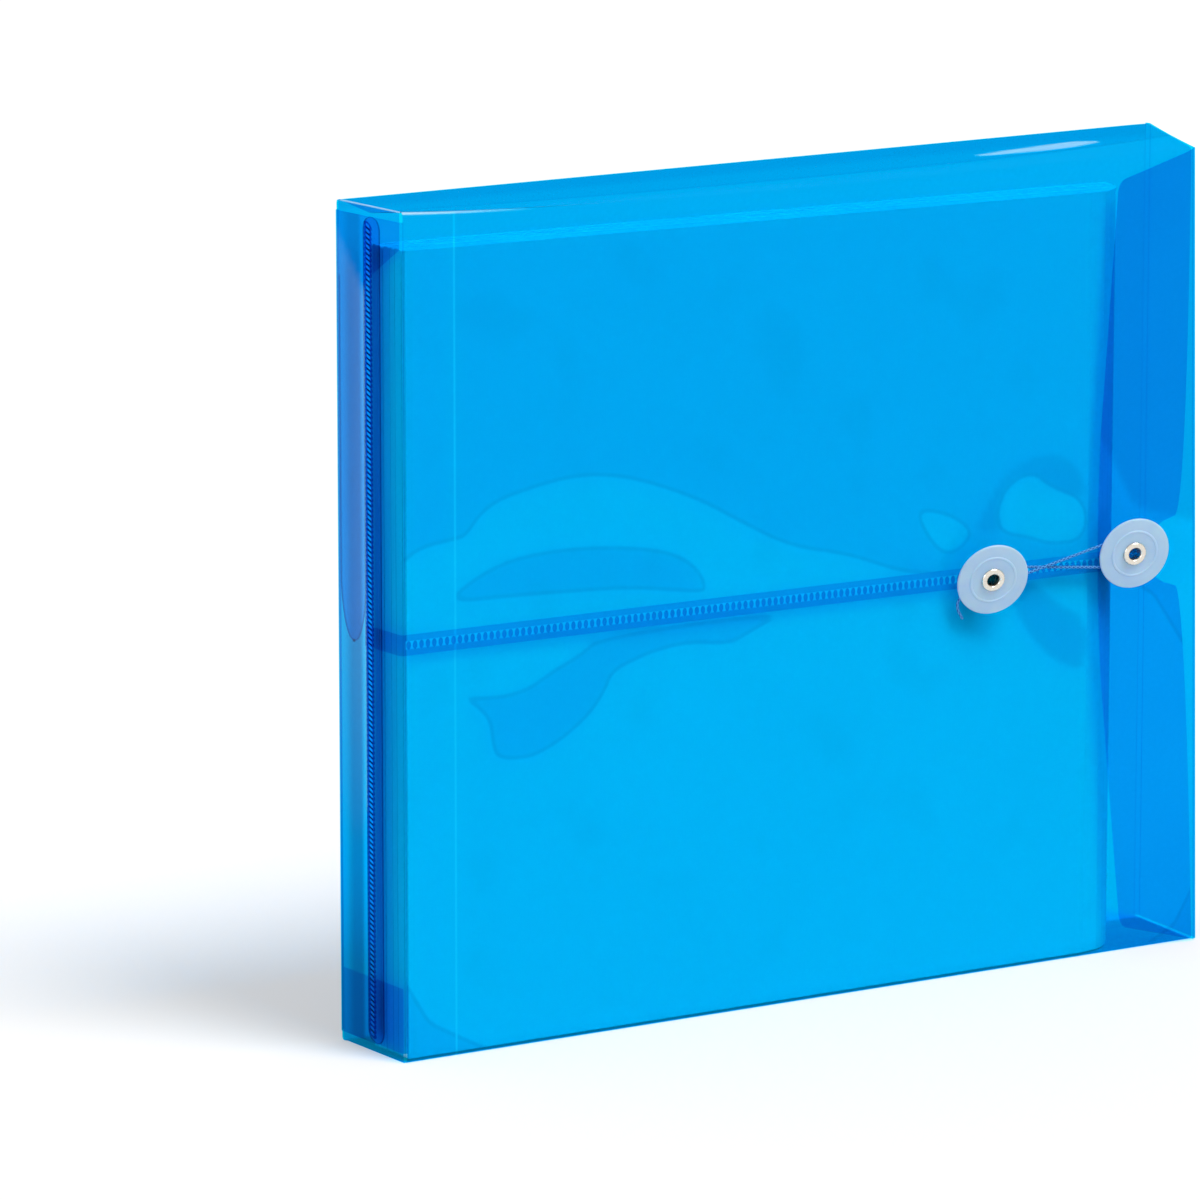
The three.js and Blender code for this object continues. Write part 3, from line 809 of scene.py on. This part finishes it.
def build_tuck(upper):
    """The gusset's end, folded down (or up) inside the end."""
    name = "end_tuck_upper" if upper else "end_tuck_lower"
    face = END + 3 * STEP
    y0, y1 = low(name).y, high(name).y
    edge, tip = (TOP, low(name).z) if upper else (0, high(name).z)
    down = -1 if upper else 1
    plan = fold((face, edge), (-1, 0), (0, down), FOLD / 2)
    rows = [(x, z, y0, y1) for x, z in plan]
    for z in steps(edge + down * FOLD, tip - down * 0.01 * MM, 1 * MM):
        depth = abs(z - edge)
        left, right = y0, y1
        if upper:
            slope = min(1, max(0, (depth - TUCK_DROP / 2) / (TUCK_DROP / 2)))
            left = y0 + slope * (y1 - TONGUE_WIDTH - y0)
            near = min(1, max(0, (z - tip) / TONGUE_TAPER))
            narrow = TONGUE_WIDTH / 2 * (1 - math.sqrt(1 - (1 - near) ** 2))
            left, right = left + narrow, right - narrow
        rows.append((face, z, left, right))
    line, clear = EDGE_LINE
    outer = []
    for x, z, a, b in rows:
        plain = np.linspace(a + clear, b - clear, TUCK_COLUMNS)
        across = [a, a + line, *plain, b - line, b]
        outer.append([(x, y, z) for y in across])
    outer = np.array(outer)
    # Painted shade: a dark line along the tuck's cut edges, away from its fold
    rim = np.zeros(outer.shape[:2])
    rim[:, :2] = rim[:, -2:] = rim[-1] = 1
    rim[np.abs(outer[..., 2] - edge) < TUCK_DROP] = 0
    if upper:
        outer = outer[:, ::-1]
    # Painted highlight along the top fold
    drop = np.abs(outer[..., 2] - edge)
    white = TUCK_WHITE * soft(TUCK_WHITE_DROP - drop, 0.3 * MM) * upper
    tuck = film_piece("film_" + name, outer, FILM_END, white=white, deep=rim)
    finish_piece(tuck, "film", "root", name)


build_tuck(True)
build_tuck(False)


# The flap: spine over the mouth, panel on the front, and the creases

SPINE_DIP = 0.2 * MM
FLAP_REACH = MOUTH - low("flap_panel").x
FLAP_WAIST_REACH = 36.8 * MM
FLAP_WAIST_DROP = 85 * MM
FLAP_SHOULDER_REACH = 25.9 * MM
FLAP_SHOULDER_DROP = 7 * MM
FLAP_CORNER_REACH = 30.2 * MM
FLAP_CORNER_DROP = 12.5 * MM
FLAP_COLUMNS = 26
SPINE_COLUMNS = 14
# Its upper part stands off the front, and is painted a deeper blue there as shade. In mm from the left
# edge and the floor
FLAP_LOOSE = [(225, 260), (225, 172), (248.2, 163.1), (252.9, 154.7), (257.6, 146.2),
              (262, 137.5), (300, 130), (300, 260)]
FLAP_PAINTED_SHADE = 0.9
FRONT_CORNER = Vector((MOUTH, FLAP_FACE))
REAR_CORNER = Vector((MOUTH + MOUTH_SLANT, BACK))
SPINE_WAY = (FRONT_CORNER - REAR_CORNER).normalized()


def flap_reach(drop):
    """How far the flap reaches from its crease at a distance below its top edge."""
    if drop < FLAP_SHOULDER_DROP:
        return FLAP_SHOULDER_REACH * drop / FLAP_SHOULDER_DROP
    if drop < FLAP_CORNER_DROP:
        k = 1 - (drop - FLAP_SHOULDER_DROP) / (FLAP_CORNER_DROP - FLAP_SHOULDER_DROP)
        bow = math.sqrt(1 - k ** 2)
        return FLAP_SHOULDER_REACH + (FLAP_CORNER_REACH - FLAP_SHOULDER_REACH) * bow
    if drop < FLAP_WAIST_DROP:
        k = (drop - FLAP_CORNER_DROP) / (FLAP_WAIST_DROP - FLAP_CORNER_DROP)
        return FLAP_CORNER_REACH + (FLAP_WAIST_REACH - FLAP_CORNER_REACH) * k
    k = (drop - FLAP_WAIST_DROP) / (TOP - 2 * FLAP_WAIST_DROP) * 2 - 1
    return FLAP_WAIST_REACH + (FLAP_REACH - FLAP_WAIST_REACH) * (1 - k * k)


def flap_levels():
    """Heights of the flap's rows, close together at its shoulders."""
    drops = steps(0.3 * MM, FLAP_SHOULDER_DROP, 0.7 * MM, closed=False)
    drops += steps(FLAP_SHOULDER_DROP, FLAP_CORNER_DROP, 0.5 * MM, closed=False)
    drops += steps(FLAP_CORNER_DROP, TOP / 2, 2 * MM)
    return drops


def build_flap_panel():
    half = flap_levels()
    rows = [(TOP - d, d) for d in half]
    rows += [(max(FLAP_FOOT, d), d) for d in reversed(half[:-1])]
    outer = []
    for z, drop in rows:
        reach = max(flap_reach(drop), CREASE + 0.3 * MM)
        across = np.linspace(MOUTH - CREASE, MOUTH - reach, FLAP_COLUMNS)
        outer.append([(x, FLAP_FACE, z) for x in across])
    outer = np.array(outer)
    loose = depth_in((outer[..., 0] - END) / MM, outer[..., 2] / MM, FLAP_LOOSE)
    panel = film_piece("film_flap_panel", outer, deep=FLAP_PAINTED_SHADE * soft(loose, 1.5))
    finish_piece(panel, "film", "flap_panel", "flap_panel")


def build_flap_spine():
    start, end = FRONT_CORNER - SPINE_WAY * CREASE, REAR_CORNER + SPINE_WAY * CREASE
    shares = np.linspace(0, 1, SPINE_COLUMNS)
    outer = []
    for z in steps(FLAP_FOOT, TOP, 3 * MM):
        row = []
        for s in shares:
            x, y = end.lerp(start, s)
            dip = SPINE_DIP * math.sin(math.pi * s) * (z / TOP) ** DIP_FADE
            row.append((x, y, z - dip))
        outer.append(row)
    spine = film_piece("film_flap_spine", np.array(outer))
    finish_piece(spine, "film", "flap_spine", "flap_spine")


def crease_strip(name, corner, before, after):
    """A rounded strip of film along a crease, between the two bodies."""
    plan = fold(corner, before, after, CREASE, 8)
    outer = [[(x, y, z) for x, y in plan] for z in steps(FLAP_FOOT, TOP, 3 * MM)]
    piece = film_piece(name, np.array(outer))
    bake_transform(piece)


build_flap_panel()
build_flap_spine()
crease_strip("film_rear_crease", REAR_CORNER, (1, 0), SPINE_WAY)
crease_strip("film_front_crease", FRONT_CORNER, SPINE_WAY, (-1, 0))


# Weld teeth, made by a tree of nodes that sets one tooth after another along a line

LOOP_RING = 0.8
LOOP_WIRE = 0.3
TOOTH_INPUTS = {"Start": "Vector", "End": "Vector", "Pitch": "Float", "Size": "Vector",
                "Turn": "Vector", "Finish": "Material"}


def tooth_tree(name, looped):
    """A tree whose teeth are rounded blocks, or loops that lie flat on the end. Both are drawn
    with a radius of about 1, and Size stretches them."""
    tree = bpy.data.node_groups.new(name, "GeometryNodeTree")
    for label, kind in TOOTH_INPUTS.items():
        tree.interface.new_socket(label, in_out="INPUT", socket_type="NodeSocket" + kind)
    tree.interface.new_socket("Geometry", in_out="OUTPUT", socket_type="NodeSocketGeometry")
    sizes = node(tree, "NodeGroupInput").outputs
    line = node(tree, "GeometryNodeCurvePrimitiveLine", Start=sizes["Start"], End=sizes["End"])
    spots = node(tree, "GeometryNodeCurveToPoints", {"mode": "LENGTH"}, Curve=line.outputs[0],
                 Length=sizes["Pitch"])
    if looped:
        ring = node(tree, "GeometryNodeCurvePrimitiveCircle", Resolution=16, Radius=LOOP_RING)
        wire = node(tree, "GeometryNodeCurvePrimitiveCircle", Resolution=6, Radius=LOOP_WIRE)
        bent = node(tree, "GeometryNodeCurveToMesh", Curve=ring.outputs[0],
                    Profile_Curve=wire.outputs[0])
        shape = node(tree, "GeometryNodeTransform", Geometry=bent.outputs[0],
                     Rotation=(0, math.pi / 2, 0))
    else:
        shape = node(tree, "GeometryNodeMeshUVSphere", Segments=10, Rings=6, Radius=1)
    tooth = node(tree, "GeometryNodeTransform", Geometry=shape.outputs[0], Scale=sizes["Size"],
                 Rotation=sizes["Turn"])
    copies = node(tree, "GeometryNodeInstanceOnPoints", Points=spots.outputs[0],
                  Instance=tooth.outputs[0])
    real = node(tree, "GeometryNodeRealizeInstances", Geometry=copies.outputs[0])
    smooth = node(tree, "GeometryNodeSetShadeSmooth", Geometry=real.outputs[0])
    finished = node(tree, "GeometryNodeSetMaterial", Geometry=smooth.outputs[0],
                    Material=sizes["Finish"])
    out = tree.nodes.new("NodeGroupOutput")
    tree.links.new(finished.outputs[0], out.inputs[0])
    return tree


BLOCK_TEETH = tooth_tree("weld_blocks", False)
LOOP_TEETH = tooth_tree("weld_loops", True)


def weld_row(name, cad, teeth, **sizes):
    """One row of teeth as a plain mesh."""
    holder = bpy.data.objects.new(name + "_line", bpy.data.meshes.new(name + "_line"))
    bpy.context.scene.collection.objects.link(holder)
    modifier = holder.modifiers.new("teeth", "NODES")
    modifier.node_group = teeth
    for socket in teeth.interface.items_tree:
        if socket.in_out == "INPUT":
            modifier[socket.identifier] = sizes[socket.name]
    bpy.context.view_layer.update()
    graph = bpy.context.evaluated_depsgraph_get()
    mesh = bpy.data.meshes.new_from_object(holder.evaluated_get(graph))
    bpy.data.objects.remove(holder)
    points = np.zeros(len(mesh.vertices) * 3)
    mesh.vertices.foreach_get("co", points)
    mesh.vertices.foreach_set("co", settle(points.reshape(-1, 3)).ravel())
    mesh.update()
    piece = bpy.data.objects.new(name, mesh)
    bpy.context.scene.collection.objects.link(piece)
    finish_piece(piece, "weld", "root", cad)


BLOCK_PITCH = 2.15 * MM
BLOCK = (0.78 * MM, 0.12 * MM, 1.25 * MM)
BLOCK_STAND = 0.06 * MM
for side in ("left", "right"):
    weld = "seam_weld_" + side
    row_y = FRONT - BLOCK_STAND
    weld_row("weld_teeth_seam_" + side, weld, BLOCK_TEETH,
             Start=(low(weld).x + BLOCK[0], row_y, SEAM_Z),
             End=(high(weld).x - BLOCK[0], row_y, SEAM_Z),
             Pitch=BLOCK_PITCH, Size=BLOCK, Turn=(0, 0, 0), Finish=SEAM_WELD)
LOOP_PITCH = 1.5 * MM
LOOP_INSET = 1.2 * MM
LOOP = (0.16 * MM, END_WELD_HALF, 0.95 * MM)
LOOP_SLANT = math.radians(24)
LOOP_STAND = 0.08 * MM
weld_row("weld_loops_end", "end_weld", LOOP_TEETH,
         Start=(END - LOOP_STAND, END_WELD_Y, low("end_weld").z + LOOP_INSET),
         End=(END - LOOP_STAND, END_WELD_Y, high("end_weld").z - LOOP_INSET),
         Pitch=LOOP_PITCH, Size=LOOP, Turn=(LOOP_SLANT, 0, 0), Finish=END_WELD)


# Buttons: each disc is pulled askew by the string, and the top of its eyelet leans with it

DISC_HOLE = 2.6 * MM
DISC_THICKNESS = 0.85 * MM
DISC_LIFT = 0.5 * MM
RING_RADIUS = 7.2 * MM
RING_HALF = 0.45 * MM
RING_RISE = 0.22 * MM
DISC_SINK = 0.12 * MM
ROUND_STEPS = 8
SEAT_GAP = 0.05 * MM
BARREL = 2.3 * MM
THROAT = 1.9 * MM
FLANGE = 3.75 * MM
FLANGE_THICKNESS = 0.3 * MM
FLANGE_BULGE = 0.75
ROLL_DEPTH = 1 * MM
# How far the string pulls each disc out of square, as a turn and a nod in degrees
DISC_LEAN = {"body": (13, 16), "flap": (13.2, 13.3)}


def turned(name, profile, place, lift, lean, material, segments=96, share=None):
    """A ring turned about a button's axis from a closed profile of radius and stand-off. It
    leans by its turn and nod about the disc's centre, each part by its share."""
    vertices, faces = [], []
    count = len(profile)
    for k in range(segments):
        angle = 2 * math.pi * k / segments
        for radius, stand in profile:
            vertices.append((radius * math.cos(angle), -stand, radius * math.sin(angle)))
    for k in range(segments):
        for j in range(count):
            a, b = k * count + j, k * count + (j + 1) % count
            c, d = (k + 1) % segments * count + (j + 1) % count, (k + 1) % segments * count + j
            faces.append((a, b, c, d))
    centre = Vector((0, -lift, 0))
    turn, nod = (math.radians(angle) for angle in lean)
    points = []
    for v in vertices:
        part = share(-v[1]) if share else 1
        tilt = Matrix.Rotation(-part * turn, 4, "Z") @ Matrix.Rotation(part * nod, 4, "X")
        points.append(place + centre + tilt @ (Vector(v) - centre))
    return new_piece(name, points, faces, material, sharp=50)


def disc_profile(inner, outer, radius):
    """The disc's section: round rim, raised ring, sunk middle."""
    rim = (outer - inner) / 2
    profile = [(DISC_HOLE, inner), (radius - rim, inner)]
    for k in range(1, ROUND_STEPS):
        angle = math.pi * k / ROUND_STEPS - math.pi / 2
        profile.append((radius - rim + rim * math.cos(angle), inner + rim + rim * math.sin(angle)))
    profile.append((radius - rim, outer))
    for k in range(ROUND_STEPS + 1):
        angle = math.pi * k / ROUND_STEPS
        profile.append((RING_RADIUS + RING_HALF * math.cos(angle), outer + RING_RISE * math.sin(angle)))
    return profile + [(DISC_HOLE + 2 * RING_HALF, outer - DISC_SINK), (DISC_HOLE, outer - DISC_SINK)]


def eyelet_profile(foot, seat):
    """The eyelet's section: rolled flange over the disc, barrel, and flat foot behind the film."""
    profile = [(BARREL, foot + FLANGE_THICKNESS), (BARREL, seat)]
    centre, half = (FLANGE + THROAT) / 2, (FLANGE - THROAT) / 2
    for k in range(ROUND_STEPS + 1):
        angle = math.pi * k / ROUND_STEPS
        profile.append((centre + half * math.cos(angle), seat + FLANGE_BULGE * half * math.sin(angle)))
    return profile + [(THROAT, seat - ROLL_DEPTH), (THROAT, foot), (FLANGE, foot),
                      (FLANGE, foot + FLANGE_THICKNESS)]


def build_button(place):
    cad = place + "_button_disc"
    axis = Vector((middle(cad).x, FRONT, middle(cad).z))
    radius = (high(cad).x - low(cad).x) / 2
    inner = FRONT - high(cad).y + DISC_LIFT
    outer = inner + DISC_THICKNESS
    centre = (inner + outer) / 2
    lean = DISC_LEAN[place]
    disc = turned(place + "_disc_moulded", disc_profile(inner, outer, radius), axis, centre,
                  lean, DISC)
    finish_piece(disc, "disc", place + "_button", cad)

    seat = outer + SEAT_GAP
    foot = FRONT - high(place + "_eyelet").y
    base = FRONT - FLAP_FACE if place == "flap" else 0

    def share(stand):
        """How much of the lean a part follows: none at the film, all of it at the disc."""
        return min(1, max(0, (stand - base) / (centre - base)))

    eyelet = turned(place + "_eyelet_rolled", eyelet_profile(foot, seat), axis, centre, lean,
                    NICKEL, 64, share)
    finish_piece(eyelet, "eyelet", "root" if place == "body" else "flap_panel",
                 place + "_eyelet")
    # The washer stays the part's own, and only gets its finish
    slots = frame["nodes"][place + "_washer"].data.materials
    slots.clear()
    slots.append(WASHER)


build_button("body")
build_button("flap")


# Tie string, on the same route as in the part. Points are measured from the front button's
# axis: towards the flap's button, stand-off, and square to both, in mm.

STRING_RADIUS = 0.4 * MM
BODY_TURN = 3.2 * MM
FLAP_TURN = 5.0 * MM
LAYER_ONE = 1.95 * MM
LAYER_TWO = 3.2 * MM
LAST_TURN_STOP = math.radians(-330)
POINTS_ROUND = 24
CURVE_STEPS = 8
TAIL = [
    (-7.6, 0.7, -11.8), (-8.2, 0.7, -10.7), (-9.1, 0.7, -8.9), (-9.2, 0.7, -7),
    (-8, 0.95, -5), (-5.8, 1.45, -3.4), (-4, 1.85, -1.9),
]
BODY_AXIS = middle("body_button_disc")
FLAP_AXIS = middle("flap_button_disc")


def arc(centre, radius, start, end, stand_start, stand_end):
    """Points round a post whose centre lies so far along the line between the buttons."""
    count = math.ceil(abs(end - start) / (2 * math.pi) * POINTS_ROUND)
    points = []
    for k in range(count + 1):
        angle = start + (end - start) * k / count
        stand = stand_start + (stand_end - stand_start) * k / count
        points.append((centre + radius * math.cos(angle), stand, radius * math.sin(angle)))
    return points


def between(a, b, count=10):
    """Points on the straight run from a to b, without its ends."""
    a, b = np.array(a), np.array(b)
    return [tuple(a + (b - a) * k / count) for k in range(1, count)]


def string_route():
    """The cord's middle line: tail, half a turn, the crossing to the flap's button and back,
    and the last turn."""
    run = Vector((FLAP_AXIS.x - BODY_AXIS.x, FLAP_AXIS.z - BODY_AXIS.z))
    span = run.length
    along, across = run / span, Vector((-run.y, run.x)) / span
    crossing = math.asin((BODY_TURN + FLAP_TURN) / span)
    quarter = math.pi / 2
    first = arc(0, BODY_TURN, 2 * quarter, quarter - crossing, LAYER_ONE, LAYER_ONE)
    loop = arc(span, FLAP_TURN, -quarter - crossing, quarter + crossing, LAYER_ONE, LAYER_TWO)
    last = arc(0, BODY_TURN, -quarter + crossing, LAST_TURN_STOP, LAYER_TWO, LAYER_TWO)
    heading = LAST_TURN_STOP - quarter
    end = (last[-1][0] + 2 * STRING_RADIUS * math.cos(heading), LAYER_TWO,
           last[-1][2] + 2 * STRING_RADIUS * math.sin(heading))
    tail = [tuple(v * MM for v in p) for p in TAIL]
    points = (tail + first + between(first[-1], loop[0]) + loop + between(loop[-1], last[0])
              + last + [end])
    route = []
    for p, stand, q in points:
        x, z = Vector((BODY_AXIS.x, BODY_AXIS.z)) + along * p + across * q
        route.append(Vector((x, FRONT - stand, z)))
    return route


def smooth_path(points, spacing):
    """Points at even steps on a smooth curve through the given ones."""
    dense = []
    for i in range(len(points) - 1):
        p0 = points[max(i - 1, 0)]
        p1, p2 = points[i], points[i + 1]
        p3 = points[min(i + 2, len(points) - 1)]
        for k in range(CURVE_STEPS):
            t = k / CURVE_STEPS
            dense.append(0.5 * ((2 * p1) + (p2 - p0) * t + (2 * p0 - 5 * p1 + 4 * p2 - p3) * t ** 2
                                + (3 * p1 - p0 - 3 * p2 + p3) * t ** 3))
    dense.append(points[-1])
    array = np.array([tuple(p) for p in dense])
    length = np.concatenate([[0], np.cumsum(np.linalg.norm(np.diff(array, axis=0), axis=1))])
    at = np.linspace(0, length[-1], math.ceil(length[-1] / spacing) + 1)
    return np.stack([np.interp(at, length, array[:, k]) for k in range(3)], 1), at


def tube_along(name, points, radius, sides=12):
    """A closed round cord, with a UV map that runs round and along it."""
    path, at = smooth_path(points, radius)
    tangent = np.gradient(path, axis=0)
    tangent /= np.linalg.norm(tangent, axis=1, keepdims=True)
    side = np.cross(tangent, (0, 1, 0))
    side /= np.maximum(np.linalg.norm(side, axis=1, keepdims=True), 1e-9)
    up = np.cross(side, tangent)
    vertices, faces, uvs = [], [], []
    for i, centre in enumerate(path):
        for k in range(sides):
            angle = 2 * math.pi * k / sides
            vertices.append(centre + radius * (side[i] * math.cos(angle) + up[i] * math.sin(angle)))
    for i in range(len(path) - 1):
        for k in range(sides):
            a, b = i * sides + k, i * sides + (k + 1) % sides
            faces.append((a, b, b + sides, a + sides))
            u0, u1 = k / sides, (k + 1) / sides
            v0, v1 = at[i] / BRAID_TURN, at[i + 1] / BRAID_TURN
            uvs.append([(u0, v0), (u1, v0), (u1, v1), (u0, v1)])
    faces.append(tuple(range(sides)))
    faces.append(tuple(range((len(path) - 1) * sides, len(path) * sides)))
    mesh = bpy.data.meshes.new(name)
    mesh.from_pydata([tuple(v) for v in vertices], [], faces)
    layer = mesh.uv_layers.new(name="braid")
    for polygon, values in zip(mesh.polygons, uvs):
        for loop, value in zip(polygon.loop_indices, values):
            layer.data[loop].uv = value
    shell = bmesh.new()
    shell.from_mesh(mesh)
    bmesh.ops.recalc_face_normals(shell, faces=shell.faces)
    shell.to_mesh(mesh)
    shell.free()
    mesh.shade_smooth()
    mesh.materials.append(STRING)
    piece = bpy.data.objects.new(name, mesh)
    bpy.context.scene.collection.objects.link(piece)
    return piece


string = tube_along("tie_string_braided", string_route(), STRING_RADIUS)
finish_piece(string, "string", "root", "tie_string")


KNOT_TURNS = 3
KNOT_STEPS = 60
KNOT_SPREAD = 0.8
KNOT_CORD = 0.7 * STRING_RADIUS
KNOT_INSET = 0.75 * STRING_RADIUS


def build_knot():
    """A small ball of a knot: the cord wound round itself."""
    centre = middle("string_knot")
    radius = (high("string_knot").x - low("string_knot").x) / 2 - KNOT_INSET
    points = []
    for k in range(KNOT_STEPS + 1):
        angle = 2 * math.pi * KNOT_TURNS * k / KNOT_STEPS
        slope = math.pi * (k / KNOT_STEPS - 0.5) * KNOT_SPREAD
        points.append(centre + Vector((radius * math.cos(angle) * math.cos(slope),
                                       radius * math.sin(slope),
                                       radius * math.sin(angle) * math.cos(slope))))
    knot = tube_along("string_knot_wound", points, KNOT_CORD, 10)
    finish_piece(knot, "string", "root", "string_knot")


build_knot()


# White filling: bundles of a few wads each, fanned at the mouth on an arc

FAN_RADIUS = 20 * MM
WADS = 5
WAD_GAP = 0.02 * MM
# Largest slip of a wad out of line, in mm
LARGEST_SLIP = 0.7
SHEET_EDGE = 0.2 * MM
FAN_FRONT = low("document_bundle_front").y
FAN_DEEPEST = high("document_bundle_rear").y - FAN_FRONT
FAN_START = high("document_bundle_rear").x - math.sqrt(FAN_RADIUS ** 2
                                                       - (FAN_RADIUS - FAN_DEEPEST) ** 2)


def fan_end(y):
    """Where the sheet at depth y ends."""
    return FAN_START + math.sqrt(FAN_RADIUS ** 2 - (FAN_RADIUS - (y - FAN_FRONT)) ** 2)


def build_bundle(place, seed):
    name = "document_bundle_" + place
    corner, far = low(name), high(name)
    random = np.random.default_rng(seed)
    thick = (far.y - corner.y) / WADS
    vertices, faces = [], []
    for k in range(WADS):
        slip_x, slip_z = random.uniform(0, LARGEST_SLIP, 2) * MM
        y0 = corner.y + k * thick + WAD_GAP
        y1 = y0 + thick - 2 * WAD_GAP
        x0, z0, z1 = corner.x + slip_x * 0.5, corner.z, far.z - slip_z
        start = len(vertices)
        for x, y in ((x0, y0), (x0, y1), (fan_end(y0), y0), (fan_end(y1), y1)):
            vertices += [(x, y, z0), (x, y, z1)]
        box = [(0, 1, 3, 2), (4, 6, 7, 5), (0, 4, 5, 1), (2, 3, 7, 6), (0, 2, 6, 4), (1, 5, 7, 3)]
        faces += [tuple(start + v for v in f) for f in box]
    piece = new_piece(name.replace("document", "paper"), vertices, faces, PAPER, smooth=False)
    bevel = piece.modifiers.new("soft edges", "BEVEL")
    bevel.width = SHEET_EDGE
    bevel.segments = 2
    finish_piece(piece, "paper", "documents", name)


for seed, place in enumerate(("front", "middle", "rear"), 3):
    build_bundle(place, seed)


# Floor and light

def seen_directly(tree):
    """1 for what the camera sees, straight or through film or in a gloss, before light scatters."""
    paths = node(tree, "ShaderNodeLightPath").outputs
    seen = maths(tree, "MAXIMUM", paths["Is Camera Ray"], paths["Is Transmission Ray"])
    seen = maths(tree, "MAXIMUM", seen, paths["Is Glossy Ray"])
    return maths(tree, "MULTIPLY", seen, maths(tree, "LESS_THAN", paths["Diffuse Depth"], 0.5))


FLOOR_GLOW = 0.31
FLOOR_HALF = 8
ROOM_LIGHT = 0.44


def add_floor():
    material, tree, output = new_material("studio_floor")
    paint = node(tree, "ShaderNodeBsdfDiffuse", Color=colour("E1E1E1"))
    glow = node(tree, "ShaderNodeEmission", Color=(1, 1, 1, 1), Strength=FLOOR_GLOW)
    both = node(tree, "ShaderNodeAddShader", _0=paint.outputs[0], _1=glow.outputs[0])
    surface = mix_shader(tree, seen_directly(tree), paint.outputs[0], both.outputs[0])
    tree.links.new(surface, output.inputs["Surface"])
    mesh = bpy.data.meshes.new("studio_floor")
    corners = [(FLOOR_HALF * a, FLOOR_HALF * b, 0) for a, b in ((-1, -1), (1, -1), (1, 1), (-1, 1))]
    mesh.from_pydata(corners, [], [(0, 1, 2, 3)])
    mesh.materials.append(material)
    floor = bpy.data.objects.new("studio_floor", mesh)
    bpy.context.scene.collection.objects.link(floor)


def add_sun(name, strength, spread, azimuth, elevation):
    """A broad even light. Azimuth 0 stands in front of the pocket, 90 at its mouth."""
    data = bpy.data.lights.new(name, "SUN")
    data.energy = strength
    data.angle = math.radians(spread)
    lamp = bpy.data.objects.new(name, data)
    a, e = math.radians(azimuth), math.radians(elevation)
    towards = Vector((math.sin(a) * math.cos(e), -math.cos(a) * math.cos(e), math.sin(e)))
    lamp.rotation_mode = "QUATERNION"
    lamp.rotation_quaternion = towards.to_track_quat("Z", "Y")
    bpy.context.scene.collection.objects.link(lamp)


def add_world():
    world = bpy.data.worlds.new("studio")
    world.use_nodes = True
    tree = world.node_tree
    tree.nodes.clear()
    strength = ramp(tree, seen_directly(tree), 0, 1, ROOM_LIGHT, 1)
    light = node(tree, "ShaderNodeBackground", Color=(1, 1, 1, 1), Strength=strength)
    output = tree.nodes.new("ShaderNodeOutputWorld")
    tree.links.new(light.outputs[0], output.inputs["Surface"])
    bpy.context.scene.world = world


add_floor()
add_world()
add_sun("key", strength=1.95, spread=26, azimuth=21, elevation=57)
add_sun("fill", strength=0.7, spread=30, azimuth=-85, elevation=6)
bpy.context.scene.view_settings.view_transform = "Standard"
